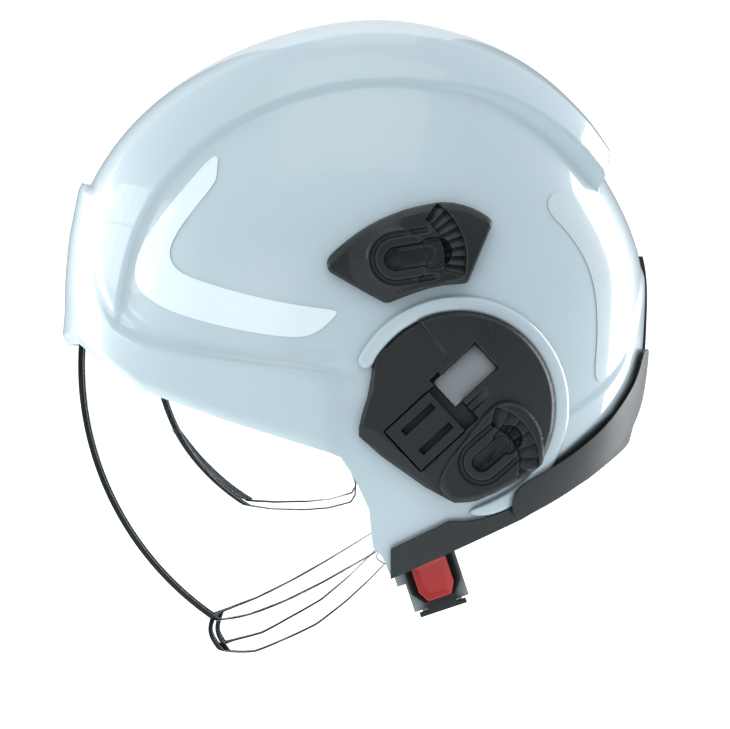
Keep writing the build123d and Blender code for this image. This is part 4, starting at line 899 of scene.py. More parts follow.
def lip_strip(name):
    """Flared lip along the shield's lower edge"""
    _, _, radius, half, wall = SHIELD_ROUND
    low = softened(SHIELD_LOW, 2, closed=False)[::-1]
    n, m = 200, 14
    rows = []
    for grow in (0.0, -wall):
        for share in np.sin(np.linspace(-1, 1, n) * math.pi / 2):
            x = share * half * 0.945
            r = (radius + grow) * (1 - (abs(x) / half) ** DOME_POWER) ** (1 / DOME_POWER)
            reach = np.hypot(low[:, 0], low[:, 1])[::-1]
            y, z = np.interp(r, reach, low[::-1, 0]), np.interp(r, reach, low[::-1, 1])
            drop = np.interp(y, *zip(*LIP_DROP))
            for k in range(m):
                d = k / (m - 1)
                back = 3.2 * d - 2.4 * math.sin(math.pi * d)
                rows.append((x * (1 - 0.03 * d), y + back, z - 0.15 - (drop - 0.15) * d))
    total = n * m
    faces = []
    for i in range(n - 1):
        for k in range(m - 1):
            q = (i * m + k, (i + 1) * m + k, (i + 1) * m + k + 1, i * m + k + 1)
            faces += [q, tuple(j + total for j in reversed(q))]
        for k in (0, m - 1):
            faces.append((i * m + k, i * m + k + total, (i + 1) * m + k + total, (i + 1) * m + k))
    for i in (0, n - 1):
        for k in range(m - 1):
            faces.append((i * m + k, i * m + k + 1, i * m + k + 1 + total, i * m + k + total))
    made = mesh_from(name, np.array(rows) * MM, faces, "shield_clear", 40)
    border = []
    for index in range(2 * total):
        i, k = divmod(index % total, m)
        border.append(min(15.0 * (1 - k / (m - 1)), 15.0 * k / (m - 1) + 0.45, min(i, n - 1 - i) * 1.6))
    layer = made.data.attributes.new("border", "FLOAT", "POINT")
    layer.data.foreach_set("value", np.array(border, np.float32))
    return outward(made)


def mesh_from(name, points, faces, finish, sharp=38.0):
    mesh = bpy.data.meshes.new(name)
    mesh.from_pydata([tuple(p) for p in np.asarray(points, float).reshape(-1, 3)], [], faces)
    mesh.update()
    made = bpy.data.objects.new(name, mesh)
    bpy.context.scene.collection.objects.link(made)
    mesh.materials.append(FINISHES[finish])
    smooth(made, sharp)
    return made


def smooth(made, sharp=38.0):
    mesh = made.data
    mesh.shade_smooth()
    mesh.set_sharp_from_angle(angle=math.radians(sharp))


def outward(made):
    bm = bmesh.new()
    bm.from_mesh(made.data)
    bmesh.ops.remove_doubles(bm, verts=bm.verts, dist=1e-7)
    bmesh.ops.recalc_face_normals(bm, faces=bm.faces)
    bm.to_mesh(made.data)
    bm.free()
    made.data.update()
    return made


def closed_skin(rounds, across, grow, plain, flip):
    """Closed dome as points and faces, with a pole on each side"""
    angles = np.linspace(0, 360, rounds, endpoint=False)
    turns = np.linspace(-math.pi / 2, math.pi / 2, across + 1)[1:-1]
    aa, tt = np.meshgrid(angles, turns, indexing="ij")
    body = shell_points(aa, tt, grow, plain).reshape(-1, 3)
    poles = shell_points(np.array([0.0, 0.0]), np.array([-math.pi / 2, math.pi / 2]), grow, plain)
    poles[:, 1:] = 0.0
    n = len(turns)
    i = np.arange(rounds)[:, None]
    j = np.arange(n - 1)[None, :]
    k = (i + 1) % rounds
    quads = np.stack([i * n + j, k * n + j, k * n + j + 1, i * n + j + 1], -1).reshape(-1, 4)
    low, high = rounds * n, rounds * n + 1
    ring = np.arange(rounds)
    nxt = (ring + 1) % rounds
    caps = ([(int(nxt[r] * n), int(ring[r] * n), low) for r in range(rounds)]
            + [(int(ring[r] * n + n - 1), int(nxt[r] * n + n - 1), high) for r in range(rounds)])
    faces = [tuple(q) for q in quads.tolist()] + caps
    if flip:
        faces = [tuple(reversed(f)) for f in faces]
    return np.vstack([body, poles]), faces


def side_block(name, outline, x0, x1, finish="shell_gloss"):
    """Closed block whose side view is an outline in millimetres"""
    n = len(outline)
    points = [(x * MM, p[0] * MM, p[1] * MM) for x in (x0, x1) for p in outline]
    faces = [tuple(range(n))[::-1], tuple(range(n, 2 * n))]
    faces += [(i, (i + 1) % n, n + (i + 1) % n, n + i) for i in range(n)]
    return outward(mesh_from(name, points, faces, finish))


def cut(made, tool, operation):
    """Applies a boolean between two closed pieces and removes the tool"""
    step = made.modifiers.new("cut", "BOOLEAN")
    step.operation, step.object, step.solver = operation, tool, "MANIFOLD"
    bpy.context.view_layer.update()
    result = bpy.data.meshes.new_from_object(made.evaluated_get(bpy.context.evaluated_depsgraph_get()))
    if len(result.polygons) < 4:
        step.solver = "EXACT"
        bpy.context.view_layer.update()
        result = bpy.data.meshes.new_from_object(made.evaluated_get(bpy.context.evaluated_depsgraph_get()))
    made.modifiers.clear()
    old = made.data
    made.data = result
    bpy.data.meshes.remove(old)
    bpy.data.objects.remove(tool)
    smooth(made)
    return made


def film_piece(name, outline, angles, turns, side, finish="reflector"):
    """Thin film on the shell within a side-view outline"""
    s = bpy.context.scene.helmet_shell
    aa, tt = np.meshgrid(np.linspace(*angles, 200), np.linspace(*turns, 140), indexing="ij")
    tt = tt * side
    n, m = aa.shape
    top, bottom = (shell_points(aa, tt, g).reshape(-1, 3) for g in (s.film_rise / MM, -0.6))
    at = lambda i, j, layer: layer * n * m + i * m + j
    faces = []
    for i in range(n - 1):
        for j in range(m - 1):
            faces.append((at(i, j, 0), at(i + 1, j, 0), at(i + 1, j + 1, 0), at(i, j + 1, 0)))
            faces.append((at(i, j + 1, 1), at(i + 1, j + 1, 1), at(i + 1, j, 1), at(i, j, 1)))
    for i in range(n - 1):
        faces += [(at(i + 1, 0, 0), at(i, 0, 0), at(i, 0, 1), at(i + 1, 0, 1)),
                  (at(i, m - 1, 0), at(i + 1, m - 1, 0), at(i + 1, m - 1, 1), at(i, m - 1, 1))]
    for j in range(m - 1):
        faces += [(at(0, j, 0), at(0, j + 1, 0), at(0, j + 1, 1), at(0, j, 1)),
                  (at(n - 1, j + 1, 0), at(n - 1, j, 0), at(n - 1, j, 1), at(n - 1, j + 1, 1))]
    made = outward(mesh_from(name, np.vstack([top, bottom]), faces, finish))
    tool = side_block(name + "_outline", softened(outline, 2), 0 if side > 0 else -200,
                      200 if side > 0 else 0)
    cut(made, tool, "INTERSECT")
    made.data.materials.append(FINISHES["film_edge"])
    for face in made.data.polygons:
        if abs(face.normal.x) < 0.12 and face.area < 4e-6:
            face.material_index = 1
    return made


def in_buckle(x, y, z):
    """A point in the buckle's own frame, in metres in the helmet's frame"""
    a = math.radians(BUCKLE_TILT)
    return Vector((x, BUCKLE_AT[0] + y * math.cos(a) - z * math.sin(a),
                   BUCKLE_AT[1] + y * math.sin(a) + z * math.cos(a))) * MM


def slab(name, outline, x0, x1, finish, place=None, bevel=0.8, steps=3, dish=None):
    """Moulded piece: an outline run along x, with rounded edges and an optional dished face"""
    bm = bmesh.new()
    base = [bm.verts.new((x0, y, z)) for y, z in outline]
    face = bm.faces.new(base)
    made = bmesh.ops.extrude_face_region(bm, geom=[face])
    top = [g for g in made["geom"] if isinstance(g, bmesh.types.BMFace)][0]
    for v in [g for g in made["geom"] if isinstance(g, bmesh.types.BMVert)]:
        v.co.x = x1
    bmesh.ops.recalc_face_normals(bm, faces=bm.faces)
    if dish:
        inset, depth = dish
        bmesh.ops.inset_region(bm, faces=[top], thickness=inset, depth=0)
        for v in top.verts:
            v.co.x -= depth
        bmesh.ops.inset_region(bm, faces=[top], thickness=inset * 0.5, depth=0)
        for v in top.verts:
            v.co.x -= depth * 0.35
    bmesh.ops.bevel(bm, geom=list(bm.edges), offset=bevel, segments=steps, profile=0.5,
                    affect="EDGES", clamp_overlap=True)
    for v in bm.verts:
        v.co = place(*v.co) if place else v.co * MM
    bmesh.ops.recalc_face_normals(bm, faces=bm.faces)
    mesh = bpy.data.meshes.new(name)
    bm.to_mesh(mesh)
    bm.free()
    piece = bpy.data.objects.new(name, mesh)
    bpy.context.scene.collection.objects.link(piece)
    mesh.materials.append(FINISHES[finish])
    smooth(piece, 50)
    return piece


def smooth_path(points, count):
    """Evenly spaced points on a smooth line near a run of corners"""
    line = softened(points, 3, closed=False)
    steps = np.r_[0, np.cumsum(np.linalg.norm(np.diff(line, axis=0), axis=1))]
    at = np.linspace(0, steps[-1], count)
    return np.stack([np.interp(at, steps, line[:, k]) for k in range(line.shape[1])], -1)


def webbing(name, centre, across, normal, width, thick, body, nodes, stitched=True):
    """Woven strap along a run of points, with rounded selvedges and sewn ends"""
    n = len(centre)
    half_w, half_t = width / 2, thick / 2
    section = []
    for k in range(24):
        a = 2 * math.pi * k / 24
        section.append((math.copysign(abs(math.cos(a)) ** 0.25, math.cos(a)) * half_w,
                        math.copysign(abs(math.sin(a)) ** 0.6, math.sin(a)) * half_t))
    points = []
    for i in range(n):
        ripple = 1 + 0.012 * math.sin(i * 2.1)
        for u, v in section:
            points.append(centre[i] + across[i] * u * ripple + normal[i] * v)
    m = len(section)
    faces = [(i * m + k, i * m + (k + 1) % m, (i + 1) * m + (k + 1) % m, (i + 1) * m + k)
             for i in range(n - 1) for k in range(m)]
    faces += [tuple(range(m))[::-1], tuple(range((n - 1) * m, n * m))]
    if stitched:
        # two rows of thread near each end
        for end in (0, 1):
            for row in range(5):
                i = 3 + row * 2 if end == 0 else n - 4 - row * 2
                if not 0 < i < n - 1:
                    continue
                along = (centre[i + 1] - centre[i - 1])
                along = along / max(np.linalg.norm(along), 1e-9)
                for k in range(-4, 5):
                    for face_side in (-1, 1):
                        p = centre[i] + across[i] * (k / 5.2 * half_w) + normal[i] * half_t * face_side
                        at = len(points)
                        for da, dn in ((-0.0007, 0), (0, 0.00012), (0.0007, 0), (0, -0.0002)):
                            for du in (-0.00018, 0.00018):
                                points.append(p + along * da + normal[i] * dn * face_side + across[i] * du)
                        faces += [(at, at + 1, at + 3, at + 2), (at + 2, at + 3, at + 5, at + 4),
                                  (at + 4, at + 5, at + 7, at + 6), (at + 6, at + 7, at + 1, at),
                                  (at, at + 2, at + 4, at + 6), (at + 1, at + 7, at + 5, at + 3)]
    piece = mesh_from(name, np.array(points), faces, "webbing", 60)
    outward(piece)
    smooth(piece, 60)
    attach(piece, body)
    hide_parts(*nodes)
    return piece


def cushion(name, outline, thick, place, body, node, seam=0.55):
    """Padded piece: a crowned closed form, filled by cloth simulation, with a sewn edge"""
    soft = bpy.context.scene.helmet_soft
    outline = softened(outline, 2)
    centre = outline.mean(0)
    rings = [1.0, 0.97, 0.90, 0.78, 0.62, 0.44, 0.26, 0.10]
    points, faces, n = [], [], len(outline)
    for side in (1, -1):
        for r in rings:
            crown = math.sqrt(max(0.0, 1 - r ** 3.2))
            for p in outline:
                q = centre + (p - centre) * r
                points.append((q[0], q[1], side * thick / 2 * (0.30 + 0.52 * crown)))
    at = lambda layer, ring, k: (layer * len(rings) + ring) * n + k % n
    for layer in (0, 1):
        for ring in range(len(rings) - 1):
            for k in range(n):
                quad = (at(layer, ring, k), at(layer, ring, k + 1), at(layer, ring + 1, k + 1),
                        at(layer, ring + 1, k))
                faces.append(quad if layer == 0 else quad[::-1])
        faces.append(tuple(at(layer, len(rings) - 1, k) for k in range(n)))
    for k in range(n):
        faces.append((at(0, 0, k + 1), at(0, 0, k), at(1, 0, k), at(1, 0, k + 1)))
    piece = mesh_from(name, np.array(points) * MM, faces, "padding", 180)
    outward(piece)
    swell(piece, soft.swell)
    bm = bmesh.new()
    bm.from_mesh(piece.data)
    scaled = outline * MM
    limit = inside_by(scaled, [v.co.x for v in bm.verts], [v.co.y for v in bm.verts])
    for v, deep in zip(bm.verts, limit):
        # sewn channel a little way in from the edge, then bend into place
        channel = math.exp(-((deep - 0.0030) / 0.0007) ** 2) * 0.00045 * seam
        v.co.z -= math.copysign(min(channel, abs(v.co.z) * 0.5), v.co.z)
        v.co = place(v.co.x / MM, v.co.y / MM, v.co.z / MM)
    bmesh.ops.recalc_face_normals(bm, faces=bm.faces)
    bm.to_mesh(piece.data)
    bm.free()
    step = piece.modifiers.new("smooth", "SUBSURF")
    step.levels = step.render_levels = 1
    bpy.context.view_layer.update()
    result = bpy.data.meshes.new_from_object(piece.evaluated_get(bpy.context.evaluated_depsgraph_get()))
    piece.modifiers.clear()
    piece.data = result
    result.shade_smooth()
    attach(piece, body)
    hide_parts(node)
    return piece


def swell(piece, cap):
    """Fills a pad with a short cloth simulation and keeps each point within the cap"""
    scene = bpy.context.scene
    remesh = piece.modifiers.new("even", "REMESH")
    remesh.mode, remesh.voxel_size = "VOXEL", 0.0011
    bpy.context.view_layer.update()
    result = bpy.data.meshes.new_from_object(piece.evaluated_get(bpy.context.evaluated_depsgraph_get()))
    piece.modifiers.clear()
    piece.data = result
    before = np.array([v.co[:] for v in result.vertices])
    cloth = piece.modifiers.new("fill", "CLOTH")
    cloth.settings.quality = 5
    cloth.settings.mass = 0.15
    cloth.settings.use_pressure = True
    cloth.settings.uniform_pressure_force = 4.0
    cloth.settings.effector_weights.gravity = 0.0
    cloth.settings.tension_stiffness = cloth.settings.compression_stiffness = 15.0
    cloth.point_cache.frame_start, cloth.point_cache.frame_end = 1, 12
    for number in range(1, 13):
        scene.frame_set(number)
    shaped = piece.evaluated_get(bpy.context.evaluated_depsgraph_get())
    after = np.array([v.co[:] for v in shaped.data.vertices])
    piece.modifiers.clear()
    scene.frame_set(1)
    move = after - before
    length = np.linalg.norm(move, axis=1)
    move *= (np.minimum(length, cap) / np.maximum(length, 1e-9))[:, None]
    piece.data.vertices.foreach_set("co", (before + move).ravel())
    piece.data.update()


# ---- pieces -------------------------------------------------------------------------
class HELMET_OT_shell(bpy.types.Operator):
    """Builds the painted shell with its crest, brow guard, side panels and rings"""
    bl_idname = "helmet.shell"
    bl_label = "Shell"

    def execute(self, context):
        s = context.scene.helmet_shell
        rounds, across = ((s.rounds, s.across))
        outer, outer_faces = closed_skin(rounds, across, 0.0, False, False)
        inner, inner_faces = closed_skin(180, 100, -s.wall / MM, True, True)
        shift = len(outer)
        faces = outer_faces + [tuple(i + shift for i in f) for f in inner_faces]
        shell = mesh_from("helmet_shell", np.vstack([outer, inner]), faces, "shell_gloss")
        below = side_block("below_rim", [(-200, -250)] + RIM + [(200, -250)], -200, 200)
        cut(shell, below, "DIFFERENCE")
        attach(shell, "helmet")
        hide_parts("outer_shell")
        for side, word in ((1, "left"), (-1, "right")):
            band = ring_band("shell_ring_" + word, side)
            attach(band, "helmet")
        return {"FINISHED"}


class HELMET_OT_films(bpy.types.Operator):
    """Lays the reflective films on the front and the rear of both sides"""
    bl_idname = "helmet.films"
    bl_label = "Reflective films"

    def execute(self, context):
        for side, word in ((1, "left"), (-1, "right")):
            front = film_piece("front_film_" + word, FRONT_FILM, (0, 62), (0.55, 1.50), side)
            rear = film_piece("rear_film_" + word, REAR_FILM, (128, 190), (0.02, 1.05), side,
                              "reflector_rear")
            for piece, node in ((front, "front_reflector_"), (rear, "rear_reflector_")):
                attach(piece, "helmet")
                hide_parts(node + word)
        return {"FINISHED"}


class HELMET_OT_rim(bpy.types.Operator):
    """Finishes the rubber rim trim, the fin up the back and the nape bumper"""
    bl_idname = "helmet.rim"
    bl_label = "Rim trim"

    def execute(self, context):
        dress(["edge_trim", "nape_fin"], "rim_rubber")
        steps = ((420, 240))
        skins = [closed_skin(*steps, grow, True, flip) for grow, flip in ((4.4, False), (1.0, True))]
        shift = len(skins[0][0])
        faces = skins[0][1] + [tuple(i + shift for i in f) for f in skins[1][1]]
        bumper = mesh_from("nape_guard", np.vstack([skins[0][0], skins[1][0]]), faces, "rim_rubber")
        cut(bumper, side_block("nape_outline", softened(NAPE_GUARD, 3), -200, 200, "rim_rubber"), "INTERSECT")
        smooth(bumper, 45)
        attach(bumper, "helmet")
        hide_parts("nape_bumper")
        return {"FINISHED"}


class HELMET_OT_adapters(bpy.types.Operator):
    """Finishes the side adapters with their windows, latches, sockets and lamp brackets"""
    bl_idname = "helmet.adapters"
    bl_label = "Side adapters"

    def execute(self, context):
        dress(pair("slide_latch"), "adapter_black")
        for side, word in ((1, "left"), (-1, "right")):
            for title, outline, height, node in (("adapter_", BASE_EDGE, base_height, "adapter_base_"),
                                                 ("socket_", POD_EDGE, pod_height, "lower_socket_"),
                                                 ("lamp_", LAMP_EDGE, lamp_height, "lamp_bracket_")):
                piece = relief(title + word, outline, height, "adapter_relief", side,
                               4.0 if title == "socket_" else 0.0)
                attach(piece, "helmet")
                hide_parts(node + word)
        dress(pair("adapter_window"), "window_grey")
        dress(["adapter_screws", "lamp_bracket_screws"], "screw_steel")
        return {"FINISHED"}


class HELMET_OT_visors(bpy.types.Operator):
    """Finishes the clear face shield and eye protector with their hubs, arms and rivets"""
    bl_idname = "helmet.visors"
    bl_label = "Face shield and eye protector"

    def execute(self, context):
        shield = visor("clear_shield", SHIELD_ROUND, SHIELD_OUTLINE, "shield_clear")
        lens = visor("clear_lens", LENS_ROUND, LENS_OUTLINE, "protector_clear", open_nose=True)
        for piece, body, node, slot_name in (
                (shield, "face_shield", "face_shield", "shield_clear"),
                (lip_strip("clear_lip"), "face_shield", "shield_lip", "shield_clear"),
                (lens, "eye_protector", "eye_protector", "protector_clear")):
            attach(piece, body)
            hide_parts(node)
        dress(["nose_pad"], "nose_rubber")
        dress(pair("shield_hub", "protector_arm") + ["shield_pivot_pins", "protector_pivot_pins"],
              "pivot_black")
        dress(["protector_rivets"], "screw_steel")
        return {"FINISHED"}


class HELMET_OT_harness(bpy.types.Operator):
    """Finishes the foam liner, the headband and the ratchet adjuster"""
    bl_idname = "helmet.harness"
    bl_label = "Liner and headband"

    def execute(self, context):
        dress(["impact_liner"], "liner_foam")
        dress(["headband", "headband_hangers", "rear_cradle", "ratchet_housing", "ratchet_pinion",
               "ratchet_knob",
               "strap_anchors"] + pair("headband_sleeve", "strap_divider"), "harness_black")
        return {"FINISHED"}


class HELMET_OT_webbing(bpy.types.Operator):
    """Weaves the crown, side and chin straps"""
    bl_idname = "helmet.webbing"
    bl_label = "Webbing"

    def execute(self, context):
        soft = context.scene.helmet_soft
        width, thick = soft.web_width, soft.web_thick
        # crown straps
        path = [(0, -90.3, 31), (0, -90.3, 40), (0, -80, 70), (0, -59, 96), (0, -30, 115), (0, 30, 115),
                (0, 62, 98), (0, 88, 72), (0, 98, 55)]
        self.strap("crown_webbing_long", path, (1, 0, 0), width, thick, "helmet", ["crown_strap_long"])
        top = 115 + thick / MM + 0.3
        half = [(77.1, 0, 22), (77.1, 0, 46), (70, 0, 74), (54, 0, 98), (30, 0, top)]
        path = half + [(-x, y, z) for x, y, z in reversed(half)]
        self.strap("crown_webbing_cross", path, (0, 1, 0), width, thick, "helmet", ["crown_strap_cross"])
        # side straps lie on the head side of the liner
        for side, word in ((1, "left"), (-1, "right")):
            self.side_strap("front_webbing_" + word, (-18, -27), (12, -84), 0.018, thick, side,
                            "front_strap_" + word)
            self.side_strap("rear_webbing_" + word, (88, -52), (21, -82), 0.015, thick, side,
                            "rear_strap_" + word)
        # chin strap in the buckle's frame
        web_z = -21.0
        local = [(65.9, 0, web_z), (62, 0, web_z), (52, 0, web_z - 1), (20, 0, web_z - 1.6),
                 (-20, 0, web_z - 1.6),
                 (-52, 0, web_z - 1), (-66, 0, web_z + 1.5), (-73.1, 0, -11.6)]
        a = math.radians(BUCKLE_TILT)
        path = [tuple(in_buckle(*p) / MM) for p in local]
        self.strap("chin_webbing", path, (0, math.cos(a), math.sin(a)), width, thick, "chin_strap",
                   ["chin_strap"])
        return {"FINISHED"}

    def strap(self, name, path, across, width, thick, body, nodes):
        count = 90
        line = smooth_path(path, count) * MM
        across = np.tile(np.array(across, float), (count, 1))
        along = np.gradient(line, axis=0)
        along /= np.linalg.norm(along, axis=1)[:, None]
        normal = np.cross(across, along)
        webbing(name, line, across, normal, width, thick, body, nodes)

    def side_strap(self, name, start, end, width, thick, side, node):
        count = 60
        t = np.linspace(0, 1, count)
        y, z = start[0] + (end[0] - start[0]) * t, start[1] + (end[1] - start[1]) * t

        def skin(yy, zz):
            angle = np.degrees(np.arctan2(zz, -yy)) % 360
            reach = HEAD_CURVE(angle) - 0.3
            share = np.clip(np.hypot(yy, zz) / reach, 0, 0.97)
            return (88 - 0.3 - thick / MM / 2) * (1 - share ** DOME_POWER) ** (1 / DOME_POWER)
        line = np.stack([skin(y, z), y, z], -1)
        direction = np.array([end[0] - start[0], end[1] - start[1]], float)
        direction /= np.linalg.norm(direction)
        side_way = np.array([-direction[1], direction[0]])
        e = 3.0
        hi = np.stack([skin(y + side_way[0] * e, z + side_way[1] * e), y + side_way[0] * e,
                       z + side_way[1] * e], -1)
        across = hi - line
        across /= np.linalg.norm(across, axis=1)[:, None]
        along = np.gradient(line, axis=0)
        along /= np.linalg.norm(along, axis=1)[:, None]
        normal = np.cross(across, along)
        for part in (line, across, normal):
            part[:, 0] *= side
        webbing(name, line * MM, across, normal, width, thick, "helmet", [node])


class HELMET_OT_pads(bpy.types.Operator):
    """Fills the brow, nape, crown and chin pads"""
    bl_idname = "helmet.pads"
    bl_label = "Pads"

    def execute(self, context):
        disc = [(26.4 * math.cos(a), 26.4 * math.sin(a)) for a in np.linspace(0, 2 * math.pi, 24,
                                                                              endpoint=False)]
        cushion("crown_cushion", disc, 4.8, lambda x, y, z: Vector((x, y, 115 - 0.8 - 0.3 - 2.5 + z)) * MM,
                "helmet", "crown_pad")

        def brow(u, v, w):
            # u runs round the band, v up it and w through it
            a = u / 88.0
            rx, ry = 76 - 1.5 - 0.3 - 2.5 - w, 94 - 1.5 - 0.3 - 2.5 - w
            return Vector((rx * math.sin(a), -ry * math.cos(a), 23 + v)) * MM
        cushion("brow_cushion", self.bar(62, 6.6, 3), 4.8, brow, "helmet", "brow_pad")
        cushion("nape_cushion", self.bar(18.4, 12.6, 4), 3.9,
                lambda x, y, z: Vector((x, 90 - 1.5 - 3.3 - 2.0 - z, -17 + y)) * MM, "rear_cradle",
                "nape_pad")
        cushion("chin_cushion", self.bar(27.6, 11.6, 6), 5.6,
                lambda x, y, z: in_buckle(x, y, -21.0 + 2.9 + z), "chin_strap", "chin_pad")
        return {"FINISHED"}

    def bar(self, half_long, half_wide, corner):
        """Rounded bar outline with its long sides well divided"""
        points = []
        for cx, cy, a0 in ((half_long - corner, half_wide - corner, 0),
                           (corner - half_long, half_wide - corner, 90),
                           (corner - half_long, corner - half_wide, 180),
                           (half_long - corner, corner - half_wide, 270)):
            for k in range(4):
                a = math.radians(a0 + k * 30)
                points.append((cx + corner * math.cos(a), cy + corner * math.sin(a)))
            if a0 in (0, 180):
                sign = 1 if a0 == 0 else -1
                for t in np.linspace(0, 1, 9)[1:-1]:
                    points.append((sign * (half_long - corner) * (1 - 2 * t), sign * half_wide))
        return points


class HELMET_OT_buckle(bpy.types.Operator):
    """Models the chin-strap buckle with its red button and grey backing"""
    bl_idname = "helmet.buckle"
    bl_label = "Buckle"

    def execute(self, context):
        dress(["buckle_tongue", "chin_strap_anchor"], "buckle_black")
        shape = [(-12.4, 15.9), (12.4, 15.9), (12.4, -9.5), (7.6, -15.9), (-7.6, -15.9), (-12.4, -9.5)]
        housing = slab("buckle_shell", shape, 69.6, 81.0, "buckle_black", in_buckle, 0.9, 3, dish=(2.6, 1.5))
        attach(housing, "helmet")
        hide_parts("buckle_housing")
        dress(["buckle_backing"], "backing_grey")
        dress(["buckle_spring"], "spring_steel")
        low, high = -15.0, 3.0
        outline = [(-8.6, high), (8.6, high), (8.6, low + 5.0), (5.6, low), (-5.6, low), (-8.6, low + 5.0)]
        button = slab("release_button", outline, 77.3, 82.35, "button_red", in_buckle, 0.9, 3,
                      dish=(2.2, 0.9))
        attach(button, "buckle_button")
        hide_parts("buckle_button")
        return {"FINISHED"}


class HELMET_OT_stage(bpy.types.Operator):
    """Sets up the floor, the studio light and the camera"""
    bl_idname = "helmet.stage"
    bl_label = "Stage"

    def execute(self, context):
        scene, s = context.scene, context.scene.helmet_stage
        scene.view_settings.view_transform = "Standard"
        world = bpy.data.worlds.new("Studio")
        scene.world = world
        world.use_nodes = True
        tree = world.node_tree
        tree.nodes.clear()
        seen = tree.nodes.new("ShaderNodeLightPath")
        either = tree.nodes.new("ShaderNodeMath")
        either.operation = "MAXIMUM"
        tree.links.new(seen.outputs["Is Camera Ray"], either.inputs[0])
        tree.links.new(seen.outputs["Is Transmission Ray"], either.inputs[1])
        back = tree.nodes.new("ShaderNodeBackground")
        back.inputs["Color"].default_value = (1, 1, 1, 1)
        back.inputs["Strength"].default_value = 1.3
        coords = tree.nodes.new("ShaderNodeTexCoord")
        room = tuple(s.room)

        def toward(direction, narrow, wide):
            """1 in one direction of the room, fading to 0 between two angles from it"""
            dot = tree.nodes.new("ShaderNodeVectorMath")
            dot.operation = "DOT_PRODUCT"
            tree.links.new(coords.outputs["Generated"], dot.inputs[0])
            dot.inputs[1].default_value = Vector(direction).normalized()
            ramp = tree.nodes.new("ShaderNodeMapRange")
            ramp.interpolation_type = "SMOOTHSTEP"
            ramp.inputs["From Min"].default_value = math.cos(math.radians(wide))
            ramp.inputs["From Max"].default_value = math.cos(math.radians(narrow))
            tree.links.new(dot.outputs["Value"], ramp.inputs["Value"])
            return ramp.outputs["Result"]

        def blend(share, first, second):
            made = tree.nodes.new("ShaderNodeMix")
            made.data_type = "RGBA"
            tree.links.new(share, made.inputs[0])
            for socket, value in ((made.inputs[6], first), (made.inputs[7], second)):
                if isinstance(value, tuple):
                    socket.default_value = (*value, 1.0)
                else:
                    tree.links.new(value, socket)
            return made.outputs[2]
        walls = blend(toward((0, 0, 1), 20, 95), shade(room, 1.05), shade(room, 1.25))
        walls = blend(toward((0, 0, -1), 20, 80), walls, shade(room, 1.35))
        walls = blend(toward((1, 0.1, -0.05), 12, 48), walls, shade(room, 0.30))
        walls = blend(toward((-1, 0, 0.1), 15, 42), walls, shade(room, 0.55))
        walls = blend(toward((0.2, -0.95, -0.15), 15, 48), walls, shade(room, 1.55))
        walls = blend(toward((0.90, -0.42, 0.10), 7, 20), walls, shade(room, 1.8))
        walls = blend(toward((0.45, -0.15, 0.88), 8, 40), walls, shade(room, 1.6))
        light = tree.nodes.new("ShaderNodeBackground")
        tree.links.new(walls, light.inputs["Color"])
        mixed = tree.nodes.new("ShaderNodeMixShader")
        out = tree.nodes.new("ShaderNodeOutputWorld")
        tree.links.new(either.outputs[0], mixed.inputs[0])
        tree.links.new(light.outputs[0], mixed.inputs[1])
        tree.links.new(back.outputs[0], mixed.inputs[2])
        tree.links.new(mixed.outputs[0], out.inputs["Surface"])

        floor_z = CAD_BOX[0].z - s.drop
        bm = bmesh.new()
        bmesh.ops.create_grid(bm, x_segments=8, y_segments=8, size=30.0)
        for v in bm.verts:
            v.co.z = floor_z
        mesh = bpy.data.meshes.new("floor")
        bm.to_mesh(mesh)
        bm.free()
        floor = bpy.data.objects.new("floor", mesh)
        scene.collection.objects.link(floor)
        f = Finish("Floor", **{"Roughness": 0.9})
        seen_floor = Amount(f, f.node("ShaderNodeLightPath").outputs["Is Camera Ray"])
        f.looks(Base_Color=f.mix(f.noise(2.0), (0.80, 0.82, 0.83), (0.84, 0.85, 0.86)),
                Emission_Color=f.mix(seen_floor, (0.12, 0.14, 0.15), (1.0, 1.0, 1.0)))
        f.shader.inputs["Emission Strength"].default_value = 1.0
        mesh.materials.append(f.material)

        for name, at, aim, size, power, colour in (
                ("top_back_softbox", (-0.95, -0.05, 1.10), (0, -0.02, 0.1), (0.6, 1.9), 1.8, (1, 1, 1)),
                ("top_softbox", (0.55, -0.1, 1.3), (0, -0.02, 0.1), (0.9, 1.2), 1.5, (1, 1, 1)),
                ("rear_softbox", (-0.70, 1.20, 0.25), (0, 0.1, 0.0), (0.7, 1.2), 14.0, (1, 1, 1)),
                ("front_softbox", (-0.55, -1.30, 0.20), (0, -0.1, 0.03), (0.7, 1.1), 18.0, (0.97, 0.99, 1)),
                ("low_fill", (0.9, -0.25, -0.30), (0, 0.0, -0.02), (1.2, 0.7), 0.5, (0.93, 0.98, 1))):
            data = bpy.data.lights.new(name, "AREA")
            data.shape, data.size, data.size_y = "RECTANGLE", *size
            data.energy, data.color = power * s.power, colour
            lamp = bpy.data.objects.new(name, data)
            scene.collection.objects.link(lamp)
            lamp.location = at
            lamp.rotation_euler = (Vector(aim) - Vector(at)).to_track_quat("-Z", "Y").to_euler()
            lamp.visible_camera = False

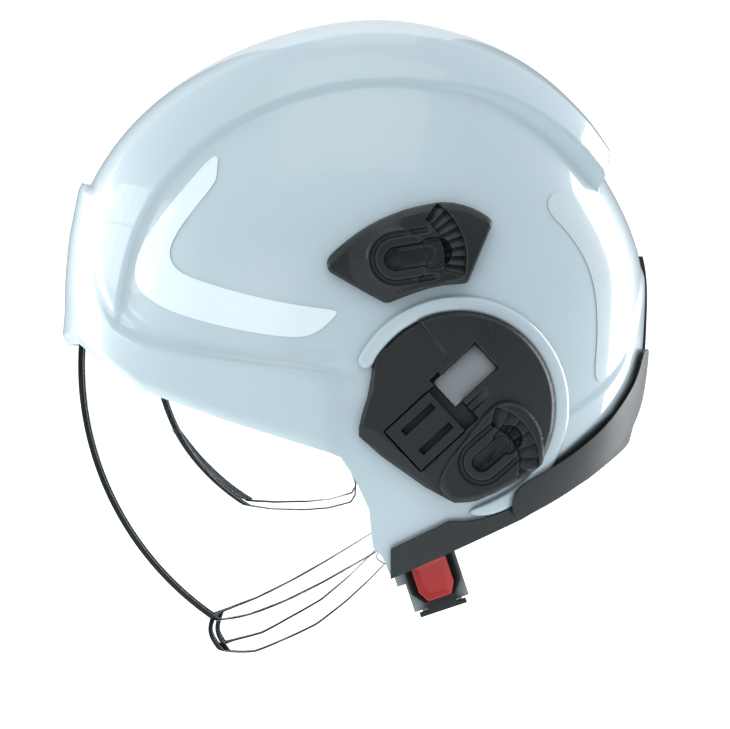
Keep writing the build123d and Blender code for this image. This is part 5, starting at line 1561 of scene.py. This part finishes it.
        bm = bmesh.new()
        for row in range(2):
            for column in range(4):
                corner = [(column * 0.30 + u * 0.27, row * 0.46 + v * 0.43) for u,
                          v in ((0, 0), (1, 0), (1, 1), (0, 1))]
                bm.faces.new([bm.verts.new((0.75 - u * 0.9, -1.75 - u * 0.25, 0.35 + v)) for u, v in corner])
        mesh = bpy.data.meshes.new("window_panes")
        bm.to_mesh(mesh)
        bm.free()
        panes = bpy.data.objects.new("window_panes", mesh)
        scene.collection.objects.link(panes)
        f = Finish("Window light", **{"Roughness": 1.0, "Emission Strength": 2.2})
        f.looks(Base_Color=f.mix(f.noise(3.0), (0.7, 0.7, 0.7), (0.8, 0.8, 0.8)),
                Emission_Color=f.mix(f.noise(1.5), (0.85, 0.95, 1.0), (0.95, 1.0, 1.0)))
        mesh.materials.append(f.material)
        panes.visible_camera = panes.visible_diffuse = panes.visible_transmission = panes.visible_shadow = False

        data = bpy.data.cameras.new("camera")
        data.lens, data.sensor_width = s.lens, 36.0
        data.clip_start, data.clip_end = 0.05, 100.0
        camera = bpy.data.objects.new("camera", data)
        scene.collection.objects.link(camera)
        camera.location = (s.distance, s.aim_y, s.aim_z)
        camera.rotation_euler = (math.pi / 2, 0.0, math.pi / 2)
        scene.camera = camera
        return {"FINISHED"}


class HELMET_PT_panel(bpy.types.Panel):
    """Lists the helmet's pieces and settings"""
    bl_idname = "HELMET_PT_panel"
    bl_label = "Rescue helmet"
    bl_space_type = "VIEW_3D"
    bl_region_type = "UI"
    bl_category = "Helmet"

    def draw(self, context):
        for operator in OPERATORS:
            self.layout.operator(operator.bl_idname)
        for name, group in SETTINGS.items():
            box = self.layout.box()
            box.label(text=group.__doc__)
            for key in group.__annotations__:
                box.prop(getattr(context.scene, name), key)


OPERATORS = (HELMET_OT_stage, HELMET_OT_shell, HELMET_OT_films, HELMET_OT_rim, HELMET_OT_adapters,
             HELMET_OT_visors,
             HELMET_OT_harness, HELMET_OT_webbing, HELMET_OT_pads, HELMET_OT_buckle)
CLASSES = (*SETTINGS.values(), *OPERATORS, HELMET_PT_panel)


def register():
    for cls in CLASSES:
        bpy.utils.register_class(cls)
    for name, group in SETTINGS.items():
        setattr(bpy.types.Scene, name, PointerProperty(type=group))


def unregister():
    for name in SETTINGS:
        delattr(bpy.types.Scene, name)
    for cls in reversed(CLASSES):
        bpy.utils.unregister_class(cls)


def main():
    register()
    make_finishes()
    for operator in OPERATORS:
        group, call = operator.bl_idname.split(".")
        getattr(getattr(bpy.ops, group), call)()


if __name__ == "__main__":
    main()
